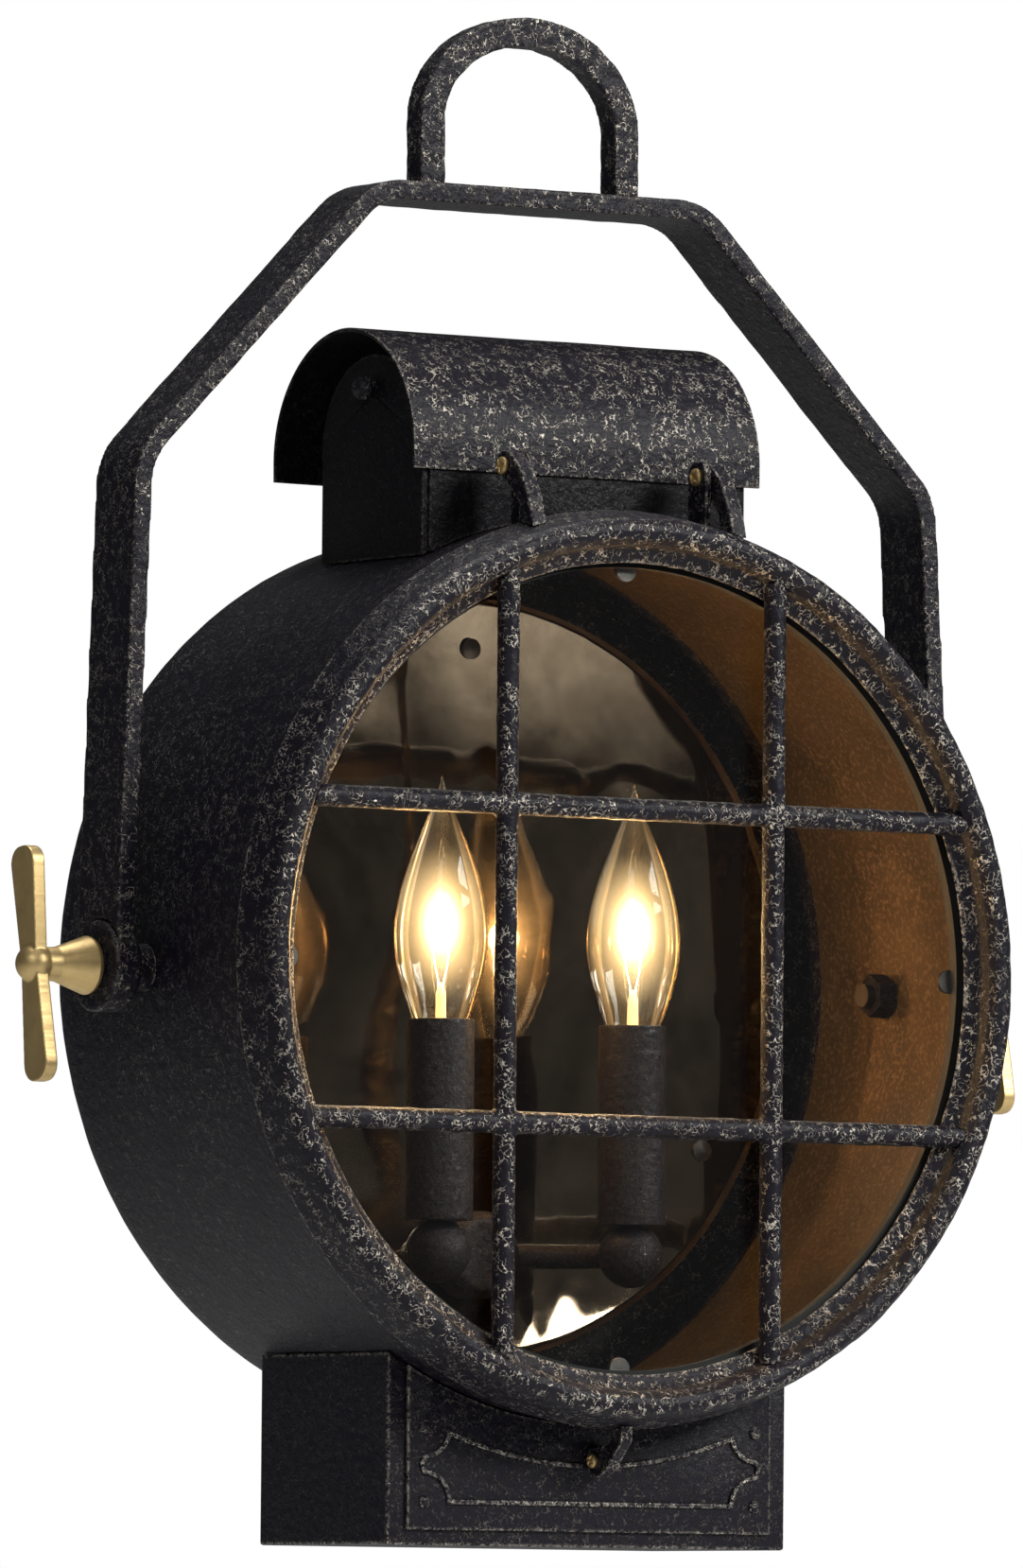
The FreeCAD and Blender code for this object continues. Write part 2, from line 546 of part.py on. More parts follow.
def make_base():
    outer = forward_box("base_outer", "base_half", ("base_rear", "base_front"),
                        ("-base_bottom", "-base_top"))
    inner = forward_box("base_inner", "base_half - base_wall",
                        ("base_rear + base_wall", "base_front - base_wall"),
                        ("base_wall - base_bottom", "-base_inner_top"))
    node(cut("base_solid", outer, inner, drum_blank("drum_over_base")), "base_box")
    face = "base_front + plaque_thick"
    plate = forward_box("plaque_plate", "plaque_half", ("base_front", face),
                        ("-plaque_drop", "-plaque_top"))
    over = cylinder("drum_over_plaque", "drum_radius + door_gap", "drum_depth", turn=FORWARD)
    node(cut("plaque_solid", plate, over), "base_plaque")
    latch_side = "latch_thick / 2 + latch_clear"
    latch_room = box("latch_room", (minus(latch_side), latch_side + " + lug_gap + lug_thick"),
                     ("-(%s) - 2" % face, minus(face) + " + 1"),
                     ("-latch_drop - latch_room_half", "-latch_drop + latch_room_half"))
    line = cut("cartouche_solid", cartouche("cartouche_out", "0"),
               cartouche("cartouche_in", "cartouche_line"), latch_room)
    node(line, "plaque_cartouche")
    rivets = []
    for side, sign in SIDES:
        for level in ("upper", "lower"):
            rivets.append(turned("rivet_%s_%s" % (level, side), [
                ("0", "0"), ("rivet_radius", "0"), ("rivet_radius", "rivet_rim"),
                ("rivet_radius * 0.6", "rivet_rise - 0.2"), ("0", "rivet_rise")],
                "%d * rivet_across" % sign, minus(face), "-rivet_%s" % level, FORWARD))
    node(group("rivet_set", *rivets), "plaque_rivets")


def cartouche(name, inset):
    """A panel with a bitten corner round each rivet, a nose between two, and a top like the drum's."""
    face = "base_front + plaque_thick"
    span = (face, face + " + cartouche_raise")
    plate = forward_box(name + "_plate", "cartouche_half", span,
                        ("(%s) - cartouche_drop" % inset, "-cartouche_top"))
    noses = [cylinder("%s_nose_%s" % (name, side), "cartouche_nose - (%s)" % inset,
                      "cartouche_raise", "%d * cartouche_half" % sign, minus(face),
                      "-(rivet_upper + rivet_lower) / 2", FORWARD) for side, sign in SIDES]
    panel = fuse(name + "_panel", plate, *noses)
    start = minus(face) + " + 1"
    bites = [cylinder(name + "_arch", "cartouche_arch + (%s)" % inset, "cartouche_raise + 2", "0",
                      start, "0", FORWARD)]
    for side, sign in SIDES:
        for level in ("upper", "lower"):
            bites.append(cylinder("%s_%s_%s" % (name, level, side), "scallop + (%s)" % inset,
                                  "cartouche_raise + 2", "%d * rivet_across" % sign, start,
                                  "-rivet_%s" % level, FORWARD))
    return cut(name, panel, *bites)


# ---------------------------------------------------------------- door

def make_bezel():
    ring = turned("bezel_ring", [
        ("glass_radius", "drum_depth + door_gap"),
        ("gasket_inner", "drum_depth + door_gap"),
        ("gasket_inner", "drum_depth + door_gap + gasket_thick"),
        ("gasket_outer", "drum_depth + door_gap + gasket_thick"),
        ("gasket_outer", "drum_depth + door_gap"),
        ("rim_radius", "drum_depth + door_gap"),
        ("skirt_front", "skirt_depth"),
        ("bead_radius + bead_round * bead_side", "bead_depth + bead_round * bead_shoulder"),
        ("bead_radius", "bead_depth + bead_round"),
        ("bead_radius - bead_round * bead_side", "bead_depth + bead_round * bead_shoulder"),
        ("bead_radius - bead_round", "bead_depth"),
        ("bead_radius - bead_round - throat_step", "bead_depth - throat_back"),
        ("glass_sight", "glass_front + 1"), ("glass_sight", "glass_front"),
        ("glass_radius", "glass_front")], turn=FORWARD)
    doc.recompute()
    bezel = node(ring, "bezel_ring")
    gasket = turned("gasket_turned", [
        ("gasket_inner", "drum_depth + door_gap"), ("gasket_outer", "drum_depth + door_gap"),
        ("gasket_outer", "drum_depth + door_gap + gasket_thick"),
        ("gasket_inner", "drum_depth + door_gap + gasket_thick")], turn=FORWARD)
    node(gasket, "door_gasket")
    return bezel


def make_glass():
    back = "glass_front - glass_thick"
    disc = cylinder("glass_round", "glass_radius", "glass_thick", "0", minus(back), "0", FORWARD)
    node(disc, "glass_disc")
    rear = "drum_depth + door_gap"
    seal = turned("seal_turned", [
        ("seal_inner", rear), ("glass_radius", rear), ("glass_radius", back),
        ("seal_inner", back)], turn=FORWARD)
    node(seal, "glass_seal")
    clips = []
    screws = []
    for number in range(4):
        spin = Rotation(Vector(0, 1, 0), 90 * number)
        clips.append(glass_clip(number, spin, rear))
        angle = math.radians(90 * number)
        x = "clip_screw_ring * %d" % round(math.sin(angle))
        z = "clip_screw_ring * %d" % round(math.cos(angle))
        shank = cylinder("clip_shank%d" % number, "latch_screw_radius",
                         "clip_thick + clip_shank", x,
                         minus(rear + " - clip_thick"), z, FORWARD)
        head = turned("clip_head%d" % number, [
            ("0", "0"), ("clip_head - 1.2", "0"), ("clip_head", "clip_head_thick / 2"),
            ("clip_head", "clip_head_thick"), ("0", "clip_head_thick")], x,
            minus(rear + " - clip_thick - clip_head_thick"), z, FORWARD)
        screws.append(fuse("clip_screw%d" % number, shank, head))
    node(group("clip_set", *clips), "glass_clips")
    node(group("clip_screw_set", *screws), "clip_screws")


def glass_clip(number, spin, rear):
    """A flat strip behind the rim with a round end that reaches in over the glass."""
    lift = minus("(%s) - clip_thick" % rear)
    across = "clip_width / 2"
    strip = box("clip_strip%d" % number, (minus(across), across), (minus(rear), lift),
                ("clip_inner + clip_width / 2", "clip_outer"))
    end = cylinder("clip_end%d" % number, across, "clip_thick", "0", lift,
                   "clip_inner + clip_width / 2", FORWARD)
    hole = cylinder("clip_hole%d" % number, "latch_screw_radius", "clip_thick + 2", "0",
                    lift + " + 1", "clip_screw_ring", FORWARD)
    clip = cut("clip%d" % number, fuse("clip_blank%d" % number, strip, end), hole)
    clip.Placement = Placement(Vector(), spin)
    return clip


def make_bars(bezel):
    reach = "bead_radius"
    for label, x in (("left", "-bar_across"), ("right", "bar_across")):
        rod = cylinder("bar_rod_" + label, "bar_radius", "2 * (%s)" % reach, x, "-bar_depth",
                       minus(reach), UPRIGHT)
        node(trimmed("bar_solid_" + label, rod, bezel), "bar_vertical_" + label)
    for label, z in (("upper", "bar_up"), ("lower", "-bar_up")):
        rod = cylinder("bar_rod_" + label, "bar_radius", "2 * (%s)" % reach, minus(reach),
                       "-bar_depth", z, RIGHTWARD)
        node(trimmed("bar_solid_" + label, rod, bezel), "bar_horizontal_" + label)


def trimmed(name, rod, bezel):
    """A bar kept inside the bezel's bead, its ends shaped to the bead."""
    room = cylinder(name + "_room", "bead_radius - bar_end_in", "2 * drum_depth", turn=FORWARD)
    return cut(name, common(name + "_inside", rod, room), bezel)


def ear_outline():
    """The side view of a hinge ear: a rounded head behind, sweeping down onto the skirt."""
    return outline_yz([
        ("hinge_depth - ear_head", "hinge_height - 1"),
        ("hinge_depth - ear_head + 0.6", "hinge_height + ear_head * 0.7"),
        ("hinge_depth - 1", "hinge_height + ear_head"),
        ("hinge_depth + 3", "hinge_height + ear_head * 0.85"),
        ("hinge_depth + 9.5", "hinge_height - 1"),
        ("hinge_depth + 15", "hinge_height - 11"),
        ("hinge_depth + 18", "hinge_height - 22"),
        ("hinge_depth + 12", "hinge_height - 27"),
        ("drum_depth + door_gap + 0.4", "hinge_height - 27"),
        ("drum_depth + door_gap + 0.4", "hinge_height - 13"),
        ("hinge_depth + 1", "hinge_height - ear_head")])


def make_hinges(bezel):
    screws = []
    for side, sign in SIDES:
        x = "%d * ear_offset" % sign
        ear = padded("ear_plate_" + side, "YZ_Plane", ear_outline(), "ear_thick", x)
        bore = cylinder("ear_bore_" + side, "pin_radius + running_fit", "ear_thick + 2",
                        x + " - ear_thick / 2 - 1", "-hinge_depth", "hinge_height", RIGHTWARD)
        node(cut("ear_solid_" + side, ear, bezel_filled("ear_rim_" + side), bore),
             "hinge_ear_" + side)
        inner = "ear_offset - ear_thick / 2 - lug_gap - lug_thick / 2"
        lug_x = "%d * (%s)" % (sign, inner)
        lug = padded("lug_plate_" + side, "YZ_Plane", outline_yz([
            ("hinge_depth - ear_head", "lug_start"), ("hinge_depth - ear_head", "hinge_height + 2"),
            ("hinge_depth - ear_head * 0.6", "hinge_height + ear_head * 0.9"),
            ("hinge_depth", "hinge_height + ear_head + 0.4"),
            ("hinge_depth + ear_head * 0.6", "hinge_height + ear_head * 0.9"),
            ("hinge_depth + ear_head", "hinge_height + 2"), ("hinge_depth + ear_head", "lug_start")]),
            "lug_thick", lug_x)
        hole = cylinder("lug_hole_" + side, "pin_radius", "lug_thick + 2",
                        "(%s) - lug_thick / 2 - 1" % lug_x, "-hinge_depth", "hinge_height",
                        RIGHTWARD)
        node(cut("lug_solid_" + side, lug, drum_blank("drum_under_lug_" + side), hole),
             "hinge_lug_" + side)
        screws.append(hinge_screw(side, sign, inner))
    node(group("hinge_screw_set", *screws), "hinge_screws")


def hinge_screw(side, sign, inner):
    """A brass screw along X. Each head faces left: outside one ear, inside the other lug."""
    far = "(%s) - lug_thick / 2" % inner
    near = "ear_offset + ear_thick / 2 + door_gap"
    span = ("-(%s)" % near, "-(%s)" % far) if sign < 0 else (far, near)
    shank = cylinder("hinge_shank_" + side, "pin_radius", "(%s) - (%s)" % (span[1], span[0]),
                     span[0], "-hinge_depth", "hinge_height", RIGHTWARD)
    head = turned("hinge_head_" + side, [
        ("0", "0"), ("screw_head", "0"), ("screw_head", "screw_head_thick * 0.6"),
        ("screw_head * 0.7", "screw_head_thick"), ("0", "screw_head_thick")],
        span[0], "-hinge_depth", "hinge_height", LEFTWARD)
    return fuse("hinge_screw_" + side, shank, head)


def bezel_filled(name):
    """The bezel's outside with no opening, to shape what is welded onto it."""
    return turned(name, [
        ("0", "drum_depth + door_gap"), ("rim_radius", "drum_depth + door_gap"),
        ("skirt_front", "skirt_depth"),
        ("bead_radius + bead_round * bead_side", "bead_depth + bead_round * bead_shoulder"),
        ("bead_radius", "bead_depth + bead_round"), ("0", "bead_depth + bead_round")],
        turn=FORWARD)


def make_latch():
    ear = padded("latch_plate", "YZ_Plane", outline_yz([
        ("drum_depth + door_gap + 0.6", "-140"), ("drum_depth + door_gap + 8", "-140"),
        ("drum_depth + door_gap + 5.5", "-latch_drop + 6"),
        ("latch_depth + latch_head + 3", "-latch_drop - 3"),
        ("latch_depth + latch_head * 0.5", "-latch_drop - 6"),
        ("latch_depth - latch_head * 0.6", "-latch_drop - latch_head"),
        ("latch_depth - latch_head", "-latch_drop - 1.5"),
        ("latch_depth - latch_head", "-latch_drop + 1.5"),
        ("latch_depth - latch_head * 0.5", "-latch_drop + latch_head"),
        ("latch_depth + latch_head", "-latch_drop + latch_head"),
        ("drum_depth + door_gap + 0.6", "-latch_drop + 8")]), "latch_thick")
    bore = cylinder("latch_bore", "latch_screw_radius", "latch_thick + 2", "-latch_thick / 2 - 1",
                    "-latch_depth", "-latch_drop", RIGHTWARD)
    node(cut("latch_solid", ear, bezel_filled("latch_rim"), bore), "latch_ear")
    low = "latch_thick / 2 + lug_gap"
    high = "(%s) + lug_thick" % low
    face = "base_front + plaque_thick"
    lug = box("latch_lug_plate", (low, high), ("-latch_depth - 6", minus(face)),
              ("-latch_drop - latch_lug_down", "-latch_drop + latch_lug_up"))
    room = "(latch_screw_radius + latch_slot_room)"
    slot = box("latch_slot", ("(%s) - 1" % low, "(%s) + 1" % high),
               ("-latch_depth - 8", "-latch_depth + " + room),
               ("-latch_drop - " + room, "-latch_drop + " + room))
    node(cut("latch_lug_solid", lug, slot), "latch_lug")
    shank = cylinder("latch_shank", "latch_screw_radius", "latch_thick + lug_gap + lug_thick + 2",
                     "-latch_thick / 2", "-latch_depth", "-latch_drop", RIGHTWARD)
    head = turned("latch_head_round", [
        ("0", "0"), ("latch_screw_head", "0"), ("latch_screw_head", "screw_head_thick * 0.6"),
        ("latch_screw_head - 0.8", "screw_head_thick"), ("0", "screw_head_thick")],
        "-latch_thick / 2", "-latch_depth", "-latch_drop", LEFTWARD)
    node(fuse("latch_screw_solid", shank, head), "latch_screw")


# ---------------------------------------------------------------- yoke, studs and wing nuts

def yoke_corners():
    """The yoke's outer corners from its right foot over the top to its left foot."""
    right = [("yoke_foot", "-pivot_drop"), ("yoke_shoulder", "yoke_shoulder_up"),
             ("yoke_top", "yoke_top_up")]
    left = [(minus(x), z) for x, z in reversed(right)]
    return right + left


def inner_corner(before, corner, after, thick):
    """Where two sides of the bar meet on the inside, one bar thickness in."""
    def inward(start, end):
        along = end - start
        along.normalize()
        return Vector(-along.y, along.x, 0)
    first = inward(before, corner)
    second = inward(corner, after)
    reach = thick / (1 + first.dot(second))
    return corner + (first + second) * reach


def make_yoke():
    outer = [Vector(value_of(x), value_of(z), 0) for x, z in yoke_corners()]
    thick = size["bar_thick"]
    bends = [inner_corner(outer[i - 1], outer[i], outer[i + 1], thick) for i in range(1, 5)]
    feet = [("yoke_foot - bar_thick", "-pivot_drop"), ("bar_thick - yoke_foot", "-pivot_drop")]
    inside = [feet[1]] + [("%.6f" % p.x, "%.6f" % p.y) for p in reversed(bends)] + [feet[0]]
    bar = padded("yoke_strip", "XZ_Plane", yoke_corners() + inside, "bar_wide", "0", "-pivot_depth")
    rounded(bar, "yoke_bend", upright_at(outer[1:5]))
    rounded(bar, "yoke_bend - bar_thick", upright_at(bends))
    room = []
    for side, sign in SIDES:
        yoke_eye(side, sign)
        start = "eye_inner" if sign > 0 else "-eye_inner - 20"
        room.append(cylinder("eye_room_" + side, "eye_radius", "20", start, "-pivot_depth",
                             "-pivot_drop", RIGHTWARD))
    node(leaning(cut("yoke_upright", bar, *room), "yoke_solid"), "yoke_bar")
    make_loop()


def leaning(thing, name):
    """The same solid leaning back about the pivot, as the yoke stands at rest."""
    pivot = Vector(0, -size["pivot_depth"], -size["pivot_drop"])
    leant = group(name, thing)
    leant.Placement = Placement(Vector(), Rotation(Vector(1, 0, 0), -size["yoke_lean"]), pivot)
    return leant


def upright_at(corners):
    """Picks straight edges across the bar that stand at one of the corners."""
    def chosen(edge):
        if not isinstance(edge.Curve, Part.Line):
            return False
        ends = [vertex.Point for vertex in edge.Vertexes]
        if abs(ends[0].x - ends[1].x) + abs(ends[0].z - ends[1].z) > 0.01:
            return False
        return any(abs(ends[0].x - c.x) < 0.05 and abs(ends[0].z - c.y) < 0.05 for c in corners)
    return chosen


def yoke_eye(side, sign):
    start = "eye_inner" if sign > 0 else "-eye_inner"
    turn = RIGHTWARD if sign > 0 else LEFTWARD
    disc = turned("eye_disc_" + side, [
        ("stud_radius + running_fit", "0"), ("eye_radius - 2", "0"), ("eye_radius", "2"),
        ("eye_radius", "eye_outer - eye_inner - 1"), ("eye_radius - 1", "eye_outer - eye_inner"),
        ("stud_radius + running_fit", "eye_outer - eye_inner")],
        start, "-pivot_depth", "-pivot_drop", turn)
    node(disc, "yoke_eye_" + side)


def make_loop():
    """The square-bar hanging loop: two straight legs under a half-oval arch."""
    half = size["loop_half"]
    rise = size["loop_rise"]
    leg = size["loop_leg"]
    bar = size["loop_bar"]
    depth = size["pivot_depth"]

    def arch_face(inset):
        oval = Part.Ellipse(Vector(), half - inset, rise - inset)
        arch = Part.ArcOfEllipse(oval, 0, math.pi).toShape()
        foot = -leg
        corners = [Vector(-half + inset, 0), Vector(-half + inset, foot),
                   Vector(half - inset, foot), Vector(half - inset, 0)]
        sides = [Part.LineSegment(corners[i], corners[i + 1]).toShape() for i in range(3)]
        return Part.Face(Part.Wire([arch] + sides))

    flat = arch_face(0).cut(arch_face(bar))
    loop = doc.addObject("Part::Feature", "loop_solid")
    loop.Shape = flat.extrude(Vector(0, 0, bar)).Solids[0]
    place(loop, "0", minus("pivot_depth - loop_bar / 2"), "yoke_top_up + loop_leg", FORWARD)
    node(leaning(loop, "loop_leaning"), "hanging_loop")


def make_studs():
    studs = []
    nuts = []
    spacers = []
    for side, sign in SIDES:
        turn = RIGHTWARD if sign > 0 else LEFTWARD
        y, z = "-pivot_depth", "-pivot_drop"
        stud = cylinder("stud_" + side, "stud_radius", "stud_outer - stud_inner",
                        "%d * stud_inner" % sign, y, z, turn)
        studs.append(stud)
        blank = doc.addObject("Part::Prism", "nut_blank_" + side)
        blank.Polygon = 6
        bind(blank, Circumradius="nut_corner", Height="nut_thick")
        inner_face = "sqrt((drum_radius - drum_wall)^2 - (pivot_drop + nut_corner)^2)"
        place(blank, "%d * (%s - nut_thick)" % (sign, inner_face), y, z, turn)
        hole = cylinder("nut_hole_" + side, "stud_radius", "nut_thick + 2 * nut_bore_past",
                        "%d * (%s - nut_thick - nut_bore_past)" % (sign, inner_face), y, z, turn)
        nuts.append(cut("nut_" + side, blank, hole))
        tube = turned("spacer_tube_" + side, [
            ("stud_radius", "0"), ("spacer_radius", "0"),
            ("spacer_radius", "eye_inner - door_gap - drum_radius + spacer_sunk"),
            ("stud_radius", "eye_inner - door_gap - drum_radius + spacer_sunk")],
            "%d * (drum_radius - spacer_sunk)" % sign, y, z, turn)
        spacers.append(cut("spacer_" + side, tube, drum_blank("drum_in_spacer_" + side)))
    node(group("stud_set", *studs), "trunnion_studs")
    node(group("nut_set", *nuts), "trunnion_nuts")
    node(group("spacer_set", *spacers), "trunnion_spacers")


def make_wing_nut(side, sign):
    """A cone that bears on the yoke's eye, a round hub and two flat wings."""
    turn = RIGHTWARD if sign > 0 else LEFTWARD
    y, z = "-pivot_depth", "-pivot_drop"
    start = "%d * (eye_outer + door_gap)" % sign
    cone = turned("nut_cone_" + side, [
        ("0", "0"), ("cone_large - cone_round", "0"), ("cone_large - cone_edge", "cone_round * 0.4"),
        ("cone_large", "cone_round"), ("cone_small", "cone_length"), ("cone_small - cone_neck_in", "hub_out"),
        ("0", "hub_out")], start, y, z, turn)
    hub_x = "%d * (eye_outer + door_gap + hub_out)" % sign
    hub = sphere("nut_hub_" + side, "hub_radius", hub_x, y, z)
    wings = padded("nut_wings_" + side, "YZ_Plane", wing_outline(), "wing_thick", hub_x, y, z)
    rounded(wings, "wing_tip * 0.8", wing_tip_edges)
    wings.Placement = Placement(wings.Placement.Base, Rotation(Vector(1, 0, 0), size["wing_turn"]))
    for axis, text in (("x", hub_x), ("y", y), ("z", z)):
        wings.setExpression("Placement.Base." + axis, formula(text))
    bore = cylinder("nut_bore_" + side, "stud_radius + running_fit",
                    "stud_outer - eye_outer - door_gap + wing_bore_back + 1",
                    "%d * (eye_outer - wing_bore_back)" % sign, y, z,
                    turn)
    node(cut("wing_nut_solid_" + side, fuse("wing_nut_blank_" + side, cone, hub, wings), bore),
         "wing_nut_" + side)


def wing_outline():
    """Two tapering wings end to end, in the plane across the nut's axis."""
    upper = [("wing_root", "0"), ("wing_tip", "wing_span"), ("-wing_tip", "wing_span"),
             ("-wing_root", "0")]
    lower = [("-wing_tip", "-wing_span"), ("wing_tip", "-wing_span")]
    return upper + lower


def wing_tip_edges(edge):
    ends = [vertex.Point for vertex in edge.Vertexes]
    return all(abs(abs(end.z) - size["wing_span"]) < 0.01 for end in ends) and \
        abs(ends[0].x - ends[1].x) > 1


def check_and_write():
    doc.recompute()
    failed = [item.Name for item in doc.Objects if "Invalid" in item.State or "Error" in item.State]
    if failed:
        raise RuntimeError("not rebuilt: " + ", ".join(failed))
    for thing in nodes:
        if thing.Shape.isNull() or not thing.Shape.isValid():
            raise RuntimeError("bad shape: " + thing.Label)
    os.makedirs("parts", exist_ok=True)
    for thing in nodes:
        thing.Shape.exportStep("parts/%s.step" % thing.Label)
        print("%-24s solids %d  volume %10.1f mm3" % (thing.Label, len(thing.Shape.Solids),
                                                      thing.Shape.Volume))
    print("%d nodes" % len(nodes))


make_sheet()
make_drum()
make_wall_plate()
make_mirror_panel()
make_lamps(make_lamp_hub())
make_chimney()
make_hood()
make_base()
bezel_ring = make_bezel()
make_glass()
make_bars(bezel_ring)
make_hinges(bezel_ring)
make_latch()
make_yoke()
make_studs()
for wing_side, wing_sign in SIDES:
    make_wing_nut(wing_side, wing_sign)
check_and_write()
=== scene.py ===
import math

import bmesh
import bpy
import numpy as np
from mathutils import Matrix, Vector, noise


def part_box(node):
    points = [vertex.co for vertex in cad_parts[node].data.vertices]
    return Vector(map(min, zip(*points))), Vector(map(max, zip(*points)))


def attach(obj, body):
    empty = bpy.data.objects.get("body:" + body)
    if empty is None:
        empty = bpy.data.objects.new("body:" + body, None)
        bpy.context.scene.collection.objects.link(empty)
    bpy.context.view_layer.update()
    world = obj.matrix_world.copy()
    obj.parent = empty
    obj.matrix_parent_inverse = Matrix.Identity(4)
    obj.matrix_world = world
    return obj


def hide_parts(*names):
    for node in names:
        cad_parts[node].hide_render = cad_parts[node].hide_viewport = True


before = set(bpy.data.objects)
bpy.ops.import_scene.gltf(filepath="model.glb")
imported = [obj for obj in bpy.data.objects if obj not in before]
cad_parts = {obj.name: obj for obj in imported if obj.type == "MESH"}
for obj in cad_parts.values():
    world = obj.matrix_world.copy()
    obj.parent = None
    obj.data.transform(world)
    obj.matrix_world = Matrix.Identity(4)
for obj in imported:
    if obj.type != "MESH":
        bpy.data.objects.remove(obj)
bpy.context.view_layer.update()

MM = 0.001
SIDES = ("left", "right")


# ---------------------------------------------------------------- sizes taken from the frame

def middle(node):
    low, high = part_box(node)
    return (low + high) / (2 * MM)


drum_low, drum_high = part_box("drum_shell")
DRUM_R = drum_high.x / MM
DRUM_FRONT = -drum_low.y / MM
DRUM_REAR = -drum_high.y / MM
SHEET = 2.5
REAR_OPENING = 118
bezel_low, bezel_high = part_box("bezel_ring")
RIM_R = bezel_high.x / MM
BEAD_FRONT = -bezel_low.y / MM
hood_low, hood_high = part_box("vent_hood")
glass_low, glass_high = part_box("glass_disc")
PANEL_DEPTH = -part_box("mirror_panel")[1].y / MM
BULB_SPOT = middle("bulb_glass_right")
GLOW_HEIGHT = 15.6
BULB_STEPS = 26
BULB_BELLY = 0.43          # how far up the glass its widest point lies
BULB_NECK = 0.39           # the neck's radius as a share of the widest
BULB_NECK_CURVE = 1.5      # a larger number keeps the neck slim for longer
BULB_FLAME_CURVE = 0.64    # a smaller number keeps the flame full for longer
MIRROR_CURVE = 0.6        # metres, the radius of the mirror sheet's slight dish


# ---------------------------------------------------------------- node materials

class Graph:
    """A material's node tree, with one call per node."""

    def __init__(self, name):
        self.material = bpy.data.materials.new(name)
        self.material.use_nodes = True
        self.tree = self.material.node_tree
        self.tree.nodes.clear()
        self.point = self.add("ShaderNodeTexCoord").outputs["Object"]

    def add(self, kind, inputs=None, **settings):
        made = self.tree.nodes.new(kind)
        for key, value in settings.items():
            setattr(made, key, value)
        for key, value in (inputs or {}).items():
            socket = made.inputs[key]
            if isinstance(value, bpy.types.NodeSocket):
                self.tree.links.new(value, socket)
            else:
                socket.default_value = value
        return made

    def math(self, operation, first, second=0.0, clamp=False):
        made = self.add("ShaderNodeMath", {0: first, 1: second}, operation=operation, use_clamp=clamp)
        return made.outputs[0]

    def noise(self, scale, detail=2.0, roughness=0.5, distortion=0.0, point=None):
        made = self.add("ShaderNodeTexNoise", {
            "Vector": point or self.point, "Scale": scale, "Detail": detail,
            "Roughness": roughness, "Distortion": distortion})
        return made.outputs["Fac"]

    def stretched(self, x, y, z):
        made = self.add("ShaderNodeMapping", {"Vector": self.point, "Scale": (x, y, z)})
        return made.outputs["Vector"]

    def span(self, value, low, high, to_low=0.0, to_high=1.0):
        made = self.add("ShaderNodeMapRange", {
            "Value": value, "From Min": low, "From Max": high, "To Min": to_low, "To Max": to_high})
        return made.outputs["Result"]

    def mix(self, share, first, second):
        made = self.add("ShaderNodeMix", data_type="RGBA")
        for socket, value in ((made.inputs[0], share), (made.inputs[6], first), (made.inputs[7], second)):
            if isinstance(value, bpy.types.NodeSocket):
                self.tree.links.new(value, socket)
            elif isinstance(value, tuple):
                socket.default_value = (*value, 1.0)
            else:
                socket.default_value = value
        return made.outputs[2]

    def edge(self, radius, low, high):
        """1 on convex and concave edges, 0 on open faces."""
        soft = self.add("ShaderNodeBevel", {"Radius": radius}, samples=4).outputs[0]
        flat = self.add("ShaderNodeNewGeometry").outputs["Normal"]
        dot = self.add("ShaderNodeVectorMath", {0: soft, 1: flat}, operation="DOT_PRODUCT")
        return self.span(self.math("SUBTRACT", 1.0, dot.outputs["Value"]), low, high)

    def facing_front(self):
        """1 where the object's own surface faces the front, 0 at right angles to it."""
        normal = self.add("ShaderNodeTexCoord").outputs["Normal"]
        return self.math("MULTIPLY", self.add("ShaderNodeSeparateXYZ", {0: normal}).outputs[1], -1.0)

    def bump(self, height, distance, strength=1.0, under=None):
        inputs = {"Height": height, "Distance": distance, "Strength": strength}
        if under is not None:
            inputs["Normal"] = under
        return self.add("ShaderNodeBump", inputs).outputs[0]

    def finish(self, **inputs):
        named = {key.replace("_", " "): value for key, value in inputs.items()}
        for key in ("Base Color", "Emission Color"):
            if isinstance(named.get(key), tuple):
                named[key] = (*named[key], 1.0)
        shader = self.add("ShaderNodeBsdfPrincipled", named)
        self.output(shader.outputs[0])
        return self.material

    def output(self, surface, volume=None):
        out = self.add("ShaderNodeOutputMaterial", {"Surface": surface})
        if volume is not None:
            self.tree.links.new(volume, out.inputs["Volume"])
        return self.material


